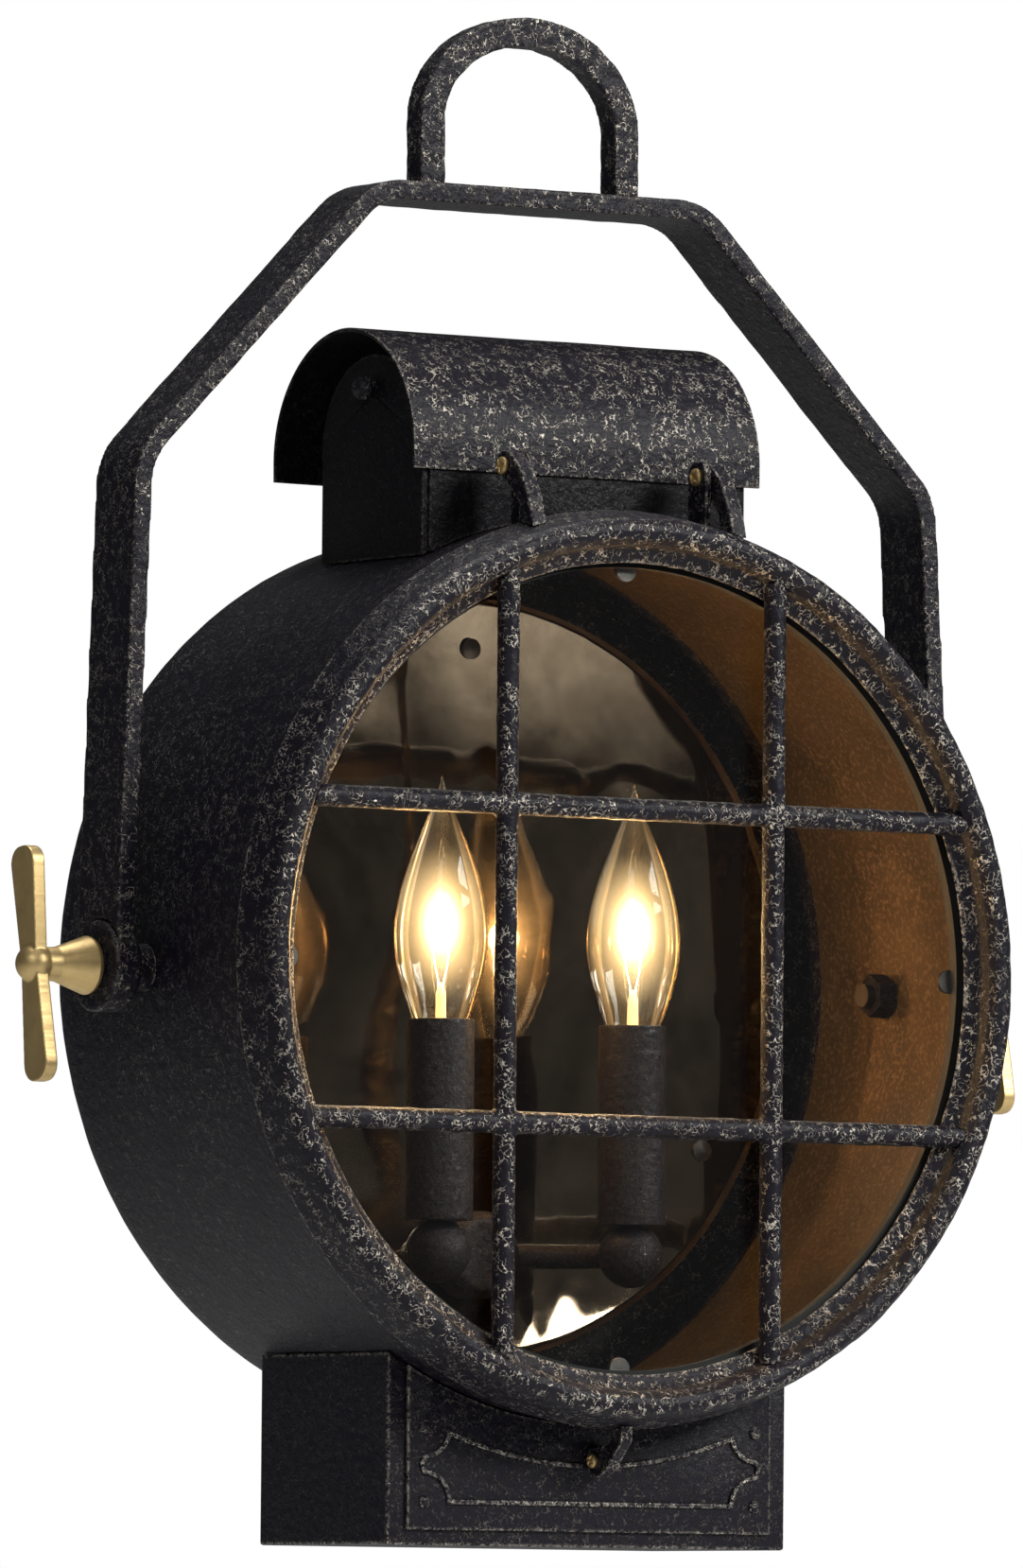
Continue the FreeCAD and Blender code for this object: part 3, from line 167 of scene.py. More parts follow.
def worn_paint(name, dark, silver, rub_and_highlight, edges, worm=560.0, relief=0.95):
    """Dark wrinkled paint whose raised worm-like strokes carry rubbed-on dull silver and painted highlight:
    the strokes thicken on surfaces that face the front, where the light falls.
    """
    g = Graph(name)
    wander = g.noise(worm, 1.0, 0.5, 0.4)
    ridge = g.span(g.math("ABSOLUTE", g.math("SUBTRACT", wander, 0.5)), 0.048, 0.010)
    broken = g.span(g.noise(worm * 0.5, 1.0), 0.42, 0.54)
    stroke = g.math("MULTIPLY", ridge, broken)
    patch = g.span(g.noise(30.0, 3.0, 0.6), 0.34, 0.66, 0.35, 1.25)
    # Painted highlight: more silver strokes where the surface faces the front, as if lit from there.
    front = g.span(g.facing_front(), 0.2, 0.95, 0.4, 1.3)
    rim = g.math("MULTIPLY", g.edge(0.0018, 0.015, 0.16), edges)
    share = g.math("MULTIPLY", g.math("MULTIPLY", patch, front), rub_and_highlight)
    share = g.math("ADD", share, rim, clamp=True)
    grain = g.noise(1700.0, 2.0, 0.6)
    # The silver mark is part rubbed-on silver and part painted highlight.
    shine = g.math("MULTIPLY", g.span(stroke, 0.2, 0.7), share)
    crest = g.math("MULTIPLY", rim, g.span(g.noise(620.0, 2.0, 0.6), 0.46, 0.6))
    shine = g.math("ADD", shine, g.math("MULTIPLY", crest, 0.6), clamp=True)
    tint = tuple(channel * part for channel, part in zip(dark, (1.2, 0.9, 1.6)))
    base = g.mix(g.noise(300.0, 1.0), dark, tint)
    silvered = g.mix(g.noise(420.0, 1.0), silver, tuple(channel * 0.6 for channel in silver))
    height = g.math("ADD", g.math("MULTIPLY", stroke, 0.8), g.math("MULTIPLY", grain, 0.3))
    height = g.math("ADD", height, g.math("MULTIPLY", g.noise(400.0, 2.0), 1.1))
    return g.finish(Base_Color=g.mix(shine, base, silvered), Roughness=g.span(grain, 0.3, 0.7, 0.38, 0.54),
                    Metallic=g.math("MULTIPLY", shine, 0.8), Specular_IOR_Level=0.24,
                    Normal=g.bump(height, 0.0005, relief))


def satin_brass(name, colour=(0.82, 0.60, 0.27), lines=(60.0, 900.0, 900.0)):
    g = Graph(name)
    streak = g.noise(1.0, 3.0, 0.6, 0.0, g.stretched(*lines))
    cloud = g.noise(90.0, 3.0, 0.6)
    deeper = tuple(channel * 0.78 for channel in colour)
    base = g.mix(g.span(cloud, 0.35, 0.7), colour, deeper)
    rough = g.span(streak, 0.3, 0.7, 0.36, 0.52)
    bump = g.bump(g.math("ADD", streak, g.math("MULTIPLY", cloud, 2.0)), 0.00006, 0.6)
    return g.finish(Base_Color=base, Roughness=rough, Metallic=0.85, Normal=bump)


def plated_steel(name, colour):
    g = Graph(name)
    cloud = g.noise(120.0, 4.0, 0.6)
    base = g.mix(g.span(cloud, 0.3, 0.7), colour, tuple(channel * 0.7 for channel in colour))
    bump = g.bump(g.noise(900.0, 3.0), 0.00008, 0.5)
    return g.finish(Base_Color=base, Roughness=g.span(cloud, 0.3, 0.7, 0.3, 0.5), Metallic=1.0, Normal=bump)


def soft_black(name, colour, rough):
    g = Graph(name)
    grain = g.noise(1400.0, 3.0, 0.6)
    base = g.mix(g.noise(80.0, 3.0), colour, tuple(channel * 1.8 for channel in colour))
    return g.finish(Base_Color=base, Roughness=g.span(grain, 0.3, 0.7, rough - 0.08, rough + 0.08),
                    Normal=g.bump(grain, 0.00012, 0.6))


def bronze_and_lamplight_wall(name):
    """The drum's inside: brown bronze paint with fine speckle, lightened and warmed as painted lamplight from
    the bulbs.
    """
    g = Graph(name)
    speck = g.span(g.noise(650.0, 2.0, 0.6), 0.5, 0.68)
    cloud = g.noise(35.0, 4.0, 0.6)
    base = g.mix(g.span(cloud, 0.3, 0.7), (0.045, 0.028, 0.013), (0.088, 0.054, 0.024))
    base = g.mix(g.math("MULTIPLY", speck, 0.35), base, (0.32, 0.22, 0.11))
    bump = g.bump(g.noise(420.0, 3.0), 0.0003, 0.5)
    return g.finish(Base_Color=base, Roughness=0.38, Metallic=0.45, Normal=bump)


def smoked_mirror(name):
    """Smoke-brown mirror sheet, slightly dished, with antique clouds and a slow ripple."""
    g = Graph(name)
    cloud = g.noise(17.0, 4.0, 0.6, 0.8)
    fine = g.noise(60.0, 3.0, 0.6)
    share = g.math("ADD", g.math("MULTIPLY", cloud, 0.8), g.math("MULTIPLY", fine, 0.2))
    base = g.mix(g.span(share, 0.38, 0.62), (0.16, 0.112, 0.072), (0.42, 0.32, 0.22))
    split = g.add("ShaderNodeSeparateXYZ", {0: g.point}).outputs
    square = g.math("ADD", g.math("MULTIPLY", split[0], split[0]), g.math("MULTIPLY", split[2], split[2]))
    dish = g.math("MULTIPLY", square, 1.0 / (2 * MIRROR_CURVE))
    ripple = g.math("MULTIPLY", g.noise(1.0, 1.0, 0.5, 0.8, g.stretched(17.0, 20.0, 7.0)), 0.0022)
    bump = g.bump(g.math("ADD", dish, ripple), 1.0, 1.0)
    return g.finish(Base_Color=base, Roughness=g.span(fine, 0.3, 0.7, 0.02, 0.06), Metallic=1.0, Normal=bump)


def clear_glass(name):
    """Solid glass that refracts what is seen and lets lamps shine through."""
    g = Graph(name)
    smear = g.noise(30.0, 4.0, 0.6)
    bump = g.bump(g.noise(28.0, 2.0), 0.0008, 0.25)
    glass = g.add("ShaderNodeBsdfPrincipled", {
        "Base Color": (0.97, 0.98, 0.96, 1.0), "Roughness": g.span(smear, 0.4, 0.8, 0.0, 0.03),
        "IOR": 1.46, "Transmission Weight": 1.0, "Normal": bump})
    clear = g.add("ShaderNodeBsdfTransparent", {"Color": (0.93, 0.95, 0.93, 1.0)})
    path = g.add("ShaderNodeLightPath")
    both = g.add("ShaderNodeMixShader", {
        0: path.outputs["Is Shadow Ray"], 1: glass.outputs[0], 2: clear.outputs[0]})
    return g.output(both.outputs[0])


def bulb_glass(name):
    """Thin clear glass, glossier towards its outline, with the filament's light hanging in it."""
    g = Graph(name)
    facing = g.add("ShaderNodeLayerWeight", {"Blend": 0.3}).outputs["Fresnel"]
    share = g.span(facing, 0.0, 1.0, 0.03, 0.6)
    gloss = g.add("ShaderNodeBsdfPrincipled", {
        "Base Color": (0.97, 0.94, 0.88, 1.0), "Roughness": 0.04, "Metallic": 1.0,
        "Normal": g.bump(g.noise(60.0), 0.0003, 0.2)})
    clear = g.add("ShaderNodeBsdfTransparent", {"Color": (1.0, 0.985, 0.95, 1.0)})
    both = g.add("ShaderNodeMixShader", {0: share, 1: clear.outputs[0], 2: gloss.outputs[0]})
    split = g.add("ShaderNodeSeparateXYZ", {0: g.point}).outputs
    across = g.math("SUBTRACT", g.math("ABSOLUTE", split[0]), BULB_SPOT.x * MM)
    deep = g.math("SUBTRACT", split[1], BULB_SPOT.y * MM)
    up = g.math("MULTIPLY", g.math("SUBTRACT", split[2], GLOW_HEIGHT * MM), 0.6)
    reach = g.add("ShaderNodeCombineXYZ", {0: across, 1: deep, 2: up}).outputs[0]
    away = g.add("ShaderNodeVectorMath", {0: reach}, operation="LENGTH").outputs["Value"]
    core = g.math("POWER", g.span(away, 0.0095, 0.0), 2.2)
    halo = g.math("POWER", g.span(away, 0.0175, 0.0), 1.6)
    strength = g.math("ADD", g.math("MULTIPLY", core, 1700.0), g.math("MULTIPLY", halo, 210.0))
    glow = g.add("ShaderNodeEmission", {"Color": (1.0, 0.66, 0.30, 1.0), "Strength": strength})
    return g.output(both.outputs[0], glow.outputs[0])


def glowing(name, colour, strength):
    g = Graph(name)
    flicker = g.noise(900.0, 2.0)
    return g.finish(Base_Color=(0.9, 0.7, 0.4), Emission_Color=g.mix(flicker, colour, (1.0, 0.86, 0.6)),
                    Emission_Strength=strength, Roughness=0.5)


DARK = (0.0065, 0.0058, 0.0085)
SILVER = (0.86, 0.79, 0.68)
# These copies differ in how much silver they carry, part of it painted highlight: most on the hood and the
# door's bezel and bars, which face the light, least on the drum's side and the base.
PAINT = worn_paint("paint_medium", DARK, SILVER, 0.5, 1.0)
PAINT_SPARSE = worn_paint("paint_sparse", DARK, SILVER, 0.34, 0.9)
PAINT_HEAVY = worn_paint("paint_heavy", DARK, SILVER, 0.85, 1.0)
PAINT_HOOD = worn_paint("paint_hood", DARK, SILVER, 0.8, 0.9)
PAINT_BASE = worn_paint("paint_base", DARK, SILVER, 0.11, 1.2)
# Painted shade: near-black paint with almost no silver, for the chimney under the hood and the hood's inside.
PAINT_SHADE = worn_paint("paint_shade", (0.004, 0.0036, 0.0042), SILVER, 0.03, 0.25)
PAINT_FINE = worn_paint("paint_fine", (0.010, 0.0078, 0.0072), (0.40, 0.34, 0.28), 0.12, 0.15, 1100.0, 1.1)
BRASS = satin_brass("brass")
STEEL = plated_steel("steel", (0.42, 0.42, 0.43))
DULL_STEEL = plated_steel("dull_steel", (0.12, 0.115, 0.11))
NICKEL = plated_steel("nickel", (0.6, 0.56, 0.48))
RUBBER = soft_black("rubber", (0.012, 0.012, 0.012), 0.6)
PHENOLIC = soft_black("phenolic", (0.015, 0.014, 0.013), 0.4)
BRONZE_AND_LAMPLIGHT = bronze_and_lamplight_wall("bronze_and_lamplight_inside")
MIRROR = smoked_mirror("mirror")
GLASS = clear_glass("glass")
BULB = bulb_glass("bulb")
# Painted light: the bulb's glass stem is no lamp, yet glows as if lit by the filament.
STEM_PAINTED_GLOW = glowing("stem_painted_glow", (1.0, 0.55, 0.2), 0.35)
FILAMENT = glowing("filament_glow", (1.0, 0.72, 0.36), 40.0)


# ---------------------------------------------------------------- mesh helpers

def piece(name, mesh, body, nodes, material, sharp=40.0):
    """A finished mesh becomes a shown piece that rides on a body and stands for CAD nodes."""
    if mesh.name != name:
        mesh.name = name
    mesh.materials.clear()
    for one in material if isinstance(material, tuple) else (material,):
        mesh.materials.append(one)
    mesh.shade_smooth()
    mesh.set_sharp_from_angle(angle=math.radians(sharp))
    thing = bpy.data.objects.new(name, mesh)
    bpy.context.scene.collection.objects.link(thing)
    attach(thing, body)
    if nodes:
        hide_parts(*nodes)
    return thing


def mesh_from(verts, faces):
    mesh = bpy.data.meshes.new("shape")
    mesh.from_pydata([tuple(v) for v in verts], [], faces)
    made = bmesh.new()
    made.from_mesh(mesh)
    bmesh.ops.remove_doubles(made, verts=made.verts, dist=1e-7)
    bmesh.ops.recalc_face_normals(made, faces=made.faces)
    made.to_mesh(mesh)
    made.free()
    return mesh


def joined(*meshes):
    made = bmesh.new()
    for mesh in meshes:
        made.from_mesh(mesh)
    mesh = bpy.data.meshes.new("shape")
    made.to_mesh(mesh)
    made.free()
    return mesh


def with_modifiers(mesh, *steps):
    """Run modifiers on a mesh, each given as (type, settings), and keep the result."""
    thing = bpy.data.objects.new("work", mesh)
    bpy.context.scene.collection.objects.link(thing)
    for kind, settings in steps:
        step = thing.modifiers.new(kind, kind)
        for key, value in settings.items():
            setattr(step, key, value)
    seen = thing.evaluated_get(bpy.context.evaluated_depsgraph_get())
    result = bpy.data.meshes.new_from_object(seen)
    bpy.data.objects.remove(thing)
    return result


def cad_mesh(*names):
    """Copies of CAD nodes' meshes in one, with split corners welded."""
    made = bmesh.new()
    for name in names:
        made.from_mesh(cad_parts[name].data)
    bmesh.ops.remove_doubles(made, verts=made.verts, dist=2e-6)
    bmesh.ops.dissolve_degenerate(made, edges=made.edges, dist=1e-6)
    mesh = bpy.data.meshes.new("shape")
    made.to_mesh(mesh)
    made.free()
    return mesh


def softened(mesh, voxel, rounds=3, factor=0.5):
    """Remesh on a fine grid and relax, so that edges round off and joins fill in as on a casting."""
    return with_modifiers(mesh, ("REMESH", {"mode": "VOXEL", "voxel_size": voxel * MM}),
                          ("SMOOTH", {"factor": factor, "iterations": rounds}))


def split_parts(node):
    """The low and high corners, in mm, of each separate solid in a CAD node."""
    made = bmesh.new()
    made.from_mesh(cad_mesh(node))
    left = set(made.verts)
    boxes = []
    while left:
        stack = [left.pop()]
        seen = list(stack)
        while stack:
            for edge in stack.pop().link_edges:
                for vert in edge.verts:
                    if vert in left:
                        left.discard(vert)
                        stack.append(vert)
                        seen.append(vert)
        points = np.array([v.co[:] for v in seen]) / MM
        boxes.append((Vector(points.min(axis=0)), Vector(points.max(axis=0))))
    made.free()
    return boxes


def bevelled(mesh, width, segments=2):
    return with_modifiers(mesh, ("BEVEL", {
        "width": width * MM, "segments": segments, "limit_method": "ANGLE",
        "angle_limit": math.radians(35)}))


def pitted(mesh, wave, depth, seed=0.0, grow=0.0):
    """Swell the surface by grow, then push it in by up to depth, in soft dents about one wave across."""
    count = len(mesh.vertices)
    points = np.empty(count * 3, np.float32)
    normals = np.empty(count * 3, np.float32)
    mesh.vertices.foreach_get("co", points)
    mesh.vertex_normals.foreach_get("vector", normals)
    points = points.reshape(-1, 3)
    normals = normals.reshape(-1, 3)
    scale = 1.0 / (wave * MM)
    shift = Vector((seed, seed * 1.7, seed * 0.6))
    dents = np.array([noise.noise(Vector(p) * scale + shift) for p in points.tolist()])
    inward = (depth * MM) * np.clip(0.5 + 0.6 * dents, 0.0, 1.0) - grow * MM
    points -= normals * inward[:, None]
    mesh.vertices.foreach_set("co", points.ravel())
    mesh.update()
    return mesh


def rounded_corners(corners, steps=5, closed=True):
    """Corners (u, v, radius) as a smooth outline."""
    result = []
    count = len(corners)
    for index, (u, v, radius) in enumerate(corners):
        here = Vector((u, v))
        if radius <= 0 or (not closed and index in (0, count - 1)):
            result.append(here)
            continue
        back = Vector(corners[index - 1][:2]) - here
        ahead = Vector(corners[(index + 1) % count][:2]) - here
        half = back.angle(ahead) / 2
        reach = min(radius / math.tan(half), back.length * 0.48, ahead.length * 0.48)
        first = here + back.normalized() * reach
        last = here + ahead.normalized() * reach
        swing = reach * math.tan(half)
        centre = here + (back.normalized() + ahead.normalized()).normalized() * math.hypot(reach, swing)
        start = first - centre
        turn = start.angle_signed(last - centre)
        for step in range(steps + 1):
            result.append(centre + Matrix.Rotation(-turn * step / steps, 2) @ start)
    return result


def divided(outline, spacing, closed=True):
    """The same outline with no side longer than the spacing."""
    result = []
    count = len(outline)
    for index in range(count if closed else count - 1):
        start = outline[index]
        end = outline[(index + 1) % count]
        parts = max(1, math.ceil((end - start).length / spacing))
        result += [start.lerp(end, part / parts) for part in range(parts)]
    if not closed:
        result.append(outline[-1])
    return result


def lathe(outline, axis, centre, steps=96, closed=True):
    """Turn (radius, height) points in mm about an axis: "y" to the front, "x" or "-x" sideways, "z" up."""
    verts = []
    for index in range(steps):
        angle = math.tau * index / steps
        c, s = math.cos(angle), math.sin(angle)
        for radius, height in outline:
            local = {"y": (radius * c, -height, radius * s), "x": (height, radius * c, radius * s),
                     "-x": (-height, radius * c, radius * s), "z": (radius * c, radius * s, height)}[axis]
            verts.append([(a + b) * MM for a, b in zip(local, centre)])
    count = len(outline)
    faces = []
    for index in range(steps):
        after = (index + 1) % steps
        for row in range(count if closed else count - 1):
            below = (row + 1) % count
            faces.append((index * count + row, after * count + row,
                          after * count + below, index * count + below))
    return mesh_from(verts, faces)


def swept(path, section, side, closed=False):
    """Carry a section (u along side, v across it) along a path of points, all in mm."""
    side = Vector(side).normalized()
    count = len(path)
    verts = []
    for index, point in enumerate(path):
        before = path[index - 1] if index or closed else point
        after = path[(index + 1) % count] if index < count - 1 or closed else point
        along = (after - before).normalized()
        across = side.cross(along).normalized()
        for u, v in section:
            verts.append((point + side * u + across * v) * MM)
    size = len(section)
    faces = []
    for index in range(count if closed else count - 1):
        after = (index + 1) % count
        for row in range(size):
            below = (row + 1) % size
            faces.append((index * size + row, after * size + row, after * size + below, index * size + below))
    if not closed:
        faces.append(tuple(range(size)))
        faces.append(tuple(range((count - 1) * size, count * size)))
    return mesh_from(verts, faces)


def circle(radius, steps=16):
    angles = [math.tau * i / steps for i in range(steps)]
    return [(radius * math.cos(a), radius * math.sin(a)) for a in angles]


# ---------------------------------------------------------------- drum, back and mirror

def make_drum():
    inner = DRUM_R - SHEET
    outline = rounded_corners([
        (REAR_OPENING, DRUM_REAR, 0.6), (DRUM_R, DRUM_REAR, 18), (DRUM_R, DRUM_FRONT, 1.4),
        (inner, DRUM_FRONT, 0.6), (inner, DRUM_REAR + SHEET, 15.5),
        (REAR_OPENING, DRUM_REAR + SHEET, 0.6)], 8)
    mesh = lathe(divided(outline, 2.6), "y", (0, 0, 0), 384)
    centres = np.empty(len(mesh.polygons) * 3, np.float32)
    mesh.polygons.foreach_get("center", centres)
    centres = centres.reshape(-1, 3)
    reach = np.hypot(centres[:, 0], centres[:, 2]) / MM
    pitted(mesh, 7.0, 0.22, 3.0)
    pitted(mesh, 42.0, 0.5, 5.0)
    piece("drum_body", mesh, "housing", ["drum_shell"], (PAINT_SPARSE, BRONZE_AND_LAMPLIGHT))
    depth = -centres[:, 1] / MM
    # Painted lamplight: only the inside wall in front of the mirror, where the bulbs shine, takes the lit
    # bronze paint.
    inside = (reach < DRUM_R - 1.4) & (depth > PANEL_DEPTH - 3)
    mesh.polygons.foreach_set("material_index", inside.astype(np.int32))


def make_mirror():
    low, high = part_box("mirror_panel")
    radius = high.x / MM
    back, front = -high.y / MM, -low.y / MM
    edge = 0.3
    outline = [Vector(p) for p in ((0, back), (radius, back), (radius, front - edge),
                                   (radius - edge, front), (0, front))]
    mesh = lathe(divided(outline, 3.0, False), "y", (0, 0, 0), 160, False)
    pitted(mesh, 55.0, 0.55, 9.0)
    piece("mirror_sheet", mesh, "housing", ["mirror_panel"], MIRROR, 60)


make_drum()
make_mirror()


# ---------------------------------------------------------------- door

def make_bezel():
    """The rim from its glass rebate and gasket groove, over the skirt and the bead, to its throat."""
    back = 126.3
    groove = back + 2
    seat, sight = 133, 135.5
    glass, groove_in, groove_out = 139, 149.4, 152.4
    outline = rounded_corners([
        (glass, back, 0.3), (groove_in, back, 0.3), (groove_in, groove, 0.3), (groove_out, groove, 0.3),
        (groove_out, back, 0.3), (RIM_R, back, 1.3), (150.9, 140.3, 2.2), (149.9, 142.0, 1.5),
        (148.6, 143.4, 2), (146, BEAD_FRONT, 3.0), (143.4, 143.3, 2), (141.2, 140.5, 2),
        (140.6, 136.6, 1.5), (sight, seat + 1, 0.8), (sight, seat, 0.3), (glass, seat, 0.3)], 4)
    mesh = lathe(divided(outline, 1.6), "y", (0, 0, 0), 620)
    pitted(mesh, 4.2, 0.35, 1.0)
    pitted(mesh, 15.0, 0.35, 2.0)
    piece("door_bezel", mesh, "door", ["bezel_ring"], PAINT_HEAVY)


def make_glass():
    radius = glass_high.x / MM
    back, front = -glass_high.y / MM, -glass_low.y / MM
    outline = [Vector((0, back)), Vector((radius - 0.8, back)), Vector((radius, back + 0.8)),
               Vector((radius, front - 0.8)), Vector((radius - 0.8, front)), Vector((0, front))]
    mesh = lathe(divided(outline, 12.0, False), "y", (0, 0, 0), 192, False)
    piece("door_glass", mesh, "door", ["glass_disc"], GLASS)


def make_grille():
    bars = ["bar_vertical_left", "bar_vertical_right", "bar_horizontal_upper", "bar_horizontal_lower"]
    mesh = softened(cad_mesh(*bars), 0.75, 4)
    pitted(mesh, 5.0, 0.4, 4.0)
    piece("guard_bars", mesh, "door", bars, PAINT_HEAVY, 60)


make_bezel()
make_glass()
make_grille()


# ---------------------------------------------------------------- cast and welded parts from the CAD shapes

def cast(name, nodes, body, voxel, material, rounds=3, wave=6.0, depth=0.3,
         grow=0.0):
    mesh = softened(cad_mesh(*nodes), voxel, rounds)
    if depth:
        pitted(mesh, wave, depth, len(name) * 1.3, grow)
    return piece(name, mesh, body, nodes, material, 60)


def crisp(name, nodes, body, width, material):
    """A sheet-metal part, its broken edges kept sharp-shaded so that the flat faces stay flat."""
    return piece(name, bevelled(cad_mesh(*nodes), width), body, nodes, material, 25.0)


cast("yoke_strap", ["yoke_bar"], "yoke", 0.75, PAINT, rounds=2, wave=8.0, depth=0.35, grow=0.25)
for side in SIDES:
    cast("yoke_boss_" + side, ["yoke_eye_" + side], "yoke", 0.6, PAINT)
    cast("door_ear_" + side, ["hinge_ear_" + side], "door", 0.45, PAINT)
    cast("drum_lug_" + side, ["hinge_lug_" + side], "housing", 0.35, PAINT, rounds=2, depth=0.15)
    cast("lamp_ball_" + side, ["arm_ball_" + side], "housing", 0.6, PAINT_FINE, depth=0.1)
    cast("lamp_arm_rod_" + side, ["lamp_arm_" + side], "housing", 0.6, PAINT_FINE, depth=0.1)
    cast("candle_tube_" + side, ["candle_sleeve_" + side], "housing", 0.4, PAINT_FINE, rounds=1,
         wave=2.5, depth=0.25)
    crisp("chimney_side_" + side, ["chimney_cheek_" + side], "housing", 0.5, PAINT_SHADE)
    cast("wing_nut_body_" + side, ["wing_nut_" + side], "nut_" + side, 0.3, BRASS, 8, depth=0)
cast("carrying_loop", ["hanging_loop"], "yoke", 0.7, PAINT_HEAVY, rounds=2, wave=4.0, depth=0.5, grow=0.1)
cast("latch_tongue", ["latch_ear"], "door", 0.45, PAINT)
cast("latch_keeper", ["latch_lug"], "housing", 0.35, PAINT, rounds=2, depth=0.1)
cast("rod_end_balls", ["tie_rod_nuts"], "housing", 0.3, PAINT, depth=0.1)
cast("plaque_rivet_heads", ["plaque_rivets"], "housing", 0.2, PAINT, depth=0.1)
cast("plaque_raised_line", ["plaque_cartouche"], "housing", 0.3, PAINT_HEAVY, rounds=2, wave=3, depth=0.1)
cast("lamp_hub_body", ["lamp_hub"], "housing", 0.7, PAINT_FINE, depth=0.1)
# The chimney walls under the hood take the painted-shade paint.
crisp("chimney_panel_front", ["chimney_wall_front"], "housing", 0.4, PAINT_SHADE)
crisp("chimney_panel_rear", ["chimney_wall_rear"], "housing", 0.4, PAINT_SHADE)
crisp("plaque_plate", ["base_plaque"], "housing", 0.5, PAINT_BASE)
crisp("foot_box", ["base_box"], "housing", 1.0, PAINT_BASE)


def make_hood():
    """The half-round sheet, dressed by hand, with soft rims."""
    radius = (hood_high.y - hood_low.y) / 2 / MM
    depth = -(hood_high.y + hood_low.y) / 2 / MM
    top = hood_high.z / MM
    half = hood_high.x / MM
    spring = top - radius
    low = hood_low.z / MM
    sheet = 1.5
    outer = [(-depth - radius, low)]
    steps = 80
    for step in range(steps + 1):
        angle = math.pi * step / steps
        outer.append((-depth - radius * math.cos(angle), spring + radius * math.sin(angle)))
    outer.append((-depth + radius, low))
    section = [Vector(p) for p in outer]
    inner = []
    for p in section:
        height = p.y if p.y <= spring else spring + (p.y - spring) * (radius - sheet) / radius
        inner.append(Vector((-depth + (p.x + depth) * (radius - sheet) / radius, height)))
    ring = divided(section, 1.8, False) + list(reversed(divided(inner, 1.8, False)))
    count = len(ring)
    columns = 72
    verts, faces = [], []
    for column in range(columns + 1):
        x = -half + 2 * half * column / columns
        verts += [(x * MM, p.x * MM, p.y * MM) for p in ring]
    for column in range(columns):
        for row in range(count):
            below = (row + 1) % count
            a, b = column * count, (column + 1) * count
            faces.append((a + row, b + row, b + below, a + below))
    rows = count // 2
    for start in (0, columns * count):
        for row in range(rows - 1):
            faces.append((start + row, start + row + 1, start + count - 2 - row, start + count - 1 - row))
    mesh = mesh_from(verts, faces)
    mesh = bevelled(mesh, 0.45)
    pitted(mesh, 30.0, 0.35, 8.0)
    piece("hood_sheet", mesh, "housing", ["vent_hood"], (PAINT_HOOD, PAINT_SHADE))
    # Painted shade: the faces inside the sheet take the second, near-black paint.
    for face in mesh.polygons:
        out = face.center / MM - Vector((face.center.x / MM, -depth, spring))
        if out.z < 0:
            out.z = 0
        face.material_index = int(out.length < radius - sheet / 2)


make_hood()


# ---------------------------------------------------------------- bulbs

def bulb_outline(side):
    """Half of a flame-shaped bulb: a swelling curve up to the belly, a falling one on to the tip."""
    low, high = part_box("bulb_glass_" + side)
    widest = (high.x - low.x) / 2 / MM
    bottom, tip = low.z / MM, high.z / MM
    belly = bottom + BULB_BELLY * (tip - bottom)
    outline = [Vector((0.0, bottom))]
    for step in range(BULB_STEPS):
        rise = step / BULB_STEPS
        swell = math.sin(rise * math.pi / 2) ** BULB_NECK_CURVE
        neck = widest * BULB_NECK
        outline.append(Vector((neck + (widest - neck) * swell, bottom + (belly - bottom) * rise)))
    for step in range(BULB_STEPS + 1):
        rise = step / BULB_STEPS
        fall = ((1 + math.cos(rise * math.pi)) / 2) ** BULB_FLAME_CURVE
        outline.append(Vector((widest * fall, belly + (tip - belly) * rise)))
    return outline


def make_bulb(side):
    centre = middle("bulb_glass_" + side)
    spot = (centre.x, centre.y, 0)
    mesh = lathe(bulb_outline(side), "z", spot, 64, False)
    piece("bulb_envelope_" + side, mesh, "housing", ["bulb_glass_" + side], BULB, 60)
    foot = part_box("filament_" + side)[0].z / MM
    stem = lathe(rounded_corners([
        (0, foot, 0), (3.6, foot, 0.5), (2.0, foot + 9, 4), (1.7, foot + 22, 0.6), (1.0, foot + 25, 0.8),
        (0, foot + 26, 0)], 4, False), "z", spot, 32, False)
    # The stem glows with painted light.
    piece("bulb_stem_" + side, stem, "housing", [], STEM_PAINTED_GLOW, 60)
    wires = []
    for lean in (-1, 1):
        path = [Vector((spot[0] + lean * r, spot[1], foot + z)) for r, z in
                ((0.7, 21), (1.2, 27), (2.6, 32), (3.3, 37), (3.3, 40))]
        wires.append(swept(path, circle(0.2, 8), (0, 1, 0)))
    coil = []
    turns = 15
    for step in range(turns * 10 + 1):
        share = step / (turns * 10)
        angle = math.tau * turns * share
        x = spot[0] - 3.3 * math.cos(math.pi * share)
        z = foot + 39.5 + 9.0 * math.sin(math.pi * share) ** 0.7
        coil.append(Vector((x + 0.35 * math.cos(angle), spot[1] + 0.7 * math.sin(angle),
                            z + 0.5 * math.cos(angle))))
    wires.append(swept(coil, circle(0.28, 6), (0, 1, 0)))
    piece("bulb_filament_" + side, joined(*wires), "housing", ["filament_" + side], FILAMENT,
          60)


for side in SIDES:
    make_bulb(side)


# ---------------------------------------------------------------- screws

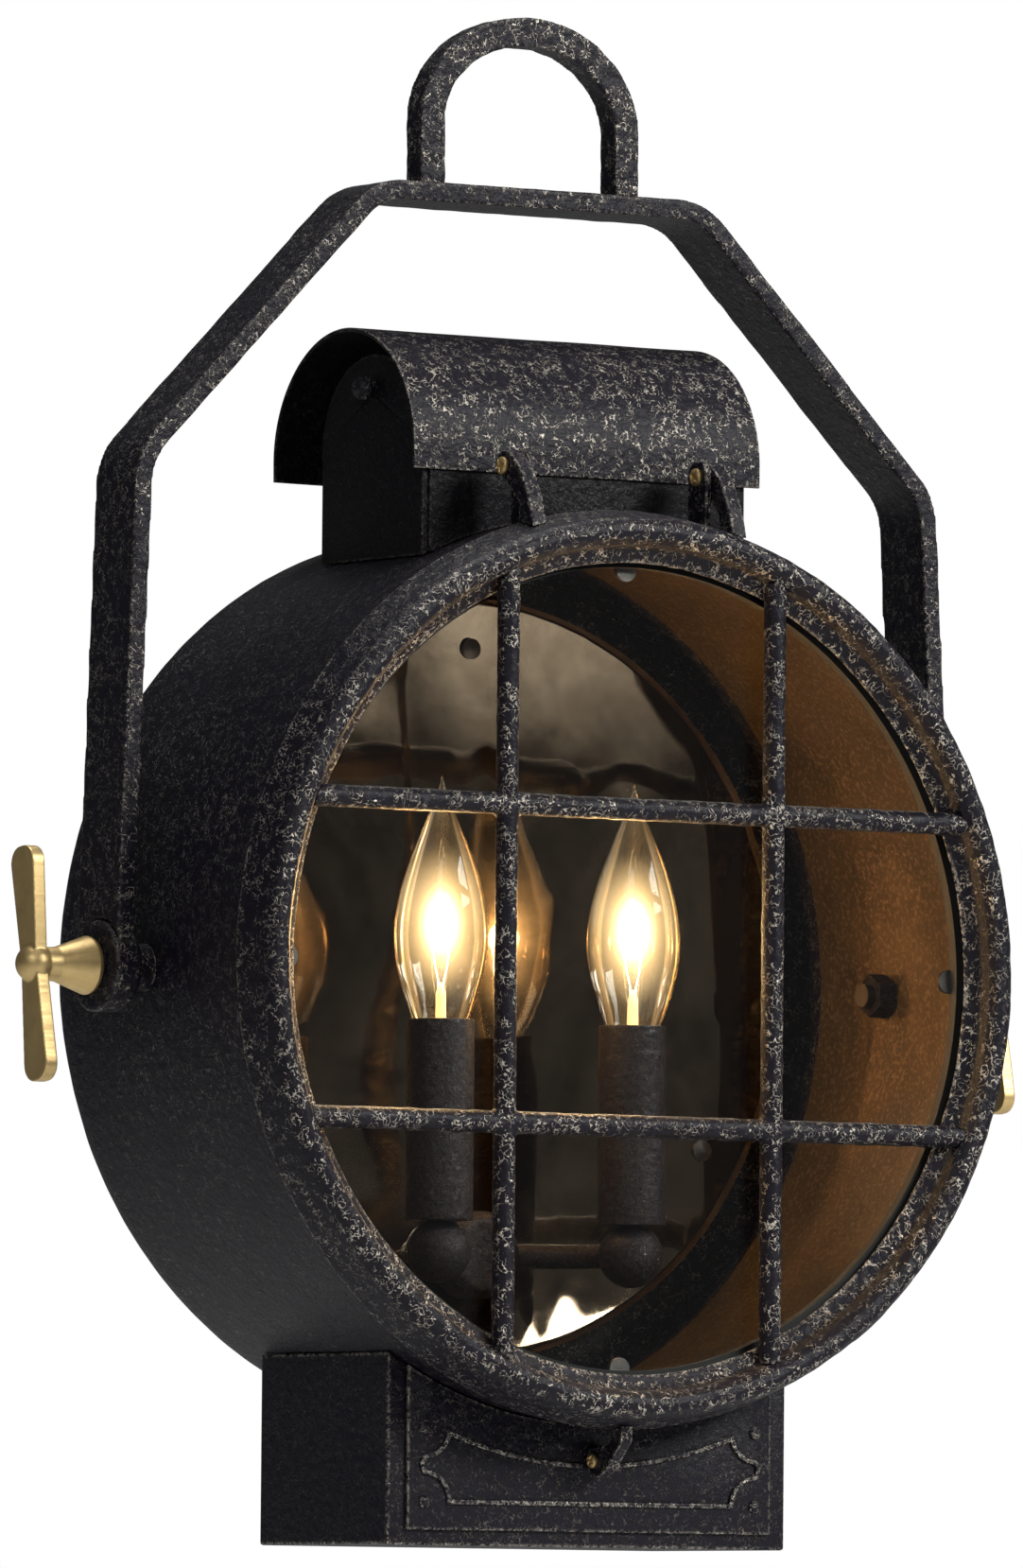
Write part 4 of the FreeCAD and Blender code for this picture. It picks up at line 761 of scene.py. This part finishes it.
def slotted(name, node, body, axis, out, material, deep=0.7):
    """Screws with cross recesses cut in their heads; out is the side the heads face, -1 or 1."""
    tool = bmesh.new()
    for index, (low, high) in enumerate(split_parts(node)):
        reach = max(high[k] - low[k] for k in range(3) if k != axis) / 2
        centre = (low + high) / 2
        centre[axis] = high[axis] if out > 0 else low[axis]
        for turn in range(2):
            made = bmesh.ops.create_cube(tool, size=1.0)
            size = [0.3 * reach, 1.55 * reach]
            size.insert(axis, 2 * deep)
            spin = Matrix.Rotation(math.radians(31 + 47 * index + 90 * turn), 4, "XYZ"[axis])
            place = Matrix.Translation(centre * MM)
            bmesh.ops.transform(tool, verts=made["verts"], matrix=place @ spin @ Matrix.Diagonal(
                [a * MM for a in size] + [1]))
    slots = bpy.data.meshes.new("slots")
    tool.to_mesh(slots)
    tool.free()
    cutter = bpy.data.objects.new("slots", slots)
    bpy.context.scene.collection.objects.link(cutter)
    mesh = with_modifiers(bevelled(cad_mesh(node), 0.2), (
        "BOOLEAN", {"object": cutter, "operation": "DIFFERENCE", "solver": "EXACT", "use_self": True}))
    bpy.data.objects.remove(cutter)
    piece(name, mesh, body, [node], material)


slotted("hinge_screw_heads", "hinge_screws", "housing", 0, -1, BRASS)
slotted("latch_screw_head", "latch_screw", "door", 0, -1, BRASS, 0.5)

KEPT_SHAPES = (
    (PAINT, ("hood_tie_rod", "hood_hangers", "trunnion_spacers")),
    (RUBBER, ("door_gasket", "glass_seal", "wire_grommet")),
    (STEEL, ("plate_screws", "panel_standoffs", "wall_plate")),
    (DULL_STEEL, ("glass_clips", "clip_screws", "panel_screws", "trunnion_studs")),
    (PHENOLIC, ("lamp_sockets",)), (NICKEL, ("bulb_caps",)), (PAINT_FINE, ("trunnion_nuts",)))
for material, names in KEPT_SHAPES:
    for name in names:
        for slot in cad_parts[name].material_slots:
            slot.material = material


# ---------------------------------------------------------------- stage, light and camera

def make_stage():
    mesh = bpy.data.meshes.new("floor")
    size = 6.0
    height = -0.5
    corners = [(x * size, y * size, height) for x, y in ((-1, -1), (1, -1), (1, 1), (-1, 1))]
    mesh.from_pydata(corners, [], [(0, 1, 2, 3)])
    g = Graph("pale_floor")
    base = g.mix(g.noise(3.0, 3.0), (0.78, 0.78, 0.77), (0.82, 0.82, 0.81))
    mesh.materials.append(g.finish(Base_Color=base, Roughness=0.7))
    floor = bpy.data.objects.new("floor", mesh)
    bpy.context.scene.collection.objects.link(floor)


def area_light(name, place, aim, size, power, colour=(1, 1, 1)):
    data = bpy.data.lights.new(name, "AREA")
    data.shape = "RECTANGLE"
    data.size, data.size_y = size
    data.energy = power
    data.color = colour
    lamp = bpy.data.objects.new(name, data)
    lamp.location = place
    lamp.rotation_euler = (Vector(aim) - Vector(place)).to_track_quat("-Z", "Y").to_euler()
    bpy.context.scene.collection.objects.link(lamp)


def make_light():
    world = bpy.data.worlds.new("studio")
    world.use_nodes = True
    tree = world.node_tree
    tree.nodes.clear()
    path = tree.nodes.new("ShaderNodeLightPath")
    seen = tree.nodes.new("ShaderNodeBackground")
    seen.inputs[0].default_value = (1, 1, 1, 1)
    seen.inputs[1].default_value = 1.0
    lit = tree.nodes.new("ShaderNodeBackground")
    lit.inputs[0].default_value = (1, 1, 1, 1)
    lit.inputs[1].default_value = 0.065
    both = tree.nodes.new("ShaderNodeMixShader")
    out = tree.nodes.new("ShaderNodeOutputWorld")
    tree.links.new(path.outputs["Is Camera Ray"], both.inputs[0])
    tree.links.new(lit.outputs[0], both.inputs[1])
    tree.links.new(seen.outputs[0], both.inputs[2])
    tree.links.new(both.outputs[0], out.inputs[0])
    bpy.context.scene.world = world
    target = (0, -0.06, 0.03)
    area_light("key", (1.5, -2.2, 1.35), target, (1.2, 0.9), 60)
    area_light("left", (-2.0, -1.9, 1.6), target, (1.4, 1.4), 18)
    area_light("top", (0.2, 0.3, 2.3), target, (1.2, 1.2), 30)
    for side in SIDES:
        centre = middle("bulb_glass_" + side) * MM
        data = bpy.data.lights.new("bulb_light_" + side, "POINT")
        data.energy = 0.22
        data.color = (1.0, 0.60, 0.26)
        data.shadow_soft_size = 0.005
        lamp = bpy.data.objects.new("bulb_light_" + side, data)
        lamp.location = (centre.x, centre.y, GLOW_HEIGHT * MM)
        bpy.context.scene.collection.objects.link(lamp)


def make_camera():
    away, raised = 5.379, 0.0349
    yaw, pitch, roll = (math.radians(a) for a in (33.9, -3.3, 0.5))
    ahead = Vector((math.sin(yaw) * math.cos(pitch), math.cos(yaw) * math.cos(pitch), -math.sin(pitch)))
    right = Vector((math.cos(yaw), -math.sin(yaw), 0))
    up = right.cross(ahead)
    right, up = right * math.cos(roll) + up * math.sin(roll), up * math.cos(roll) - right * math.sin(roll)
    aim = Vector((0, -0.06, 0.03))
    data = bpy.data.cameras.new("camera")
    data.sensor_fit = "VERTICAL"
    data.sensor_height = 24.0
    data.lens = 243.3
    data.clip_end = 50.0
    camera = bpy.data.objects.new("camera", data)
    turn = Matrix((right, up, -ahead)).transposed()
    camera.matrix_world = Matrix.Translation(aim - ahead * away + up * raised) @ turn.to_4x4()
    bpy.context.scene.collection.objects.link(camera)
    bpy.context.scene.camera = camera
    bpy.context.scene.view_settings.view_transform = "Standard"


make_stage()
make_light()
make_camera()
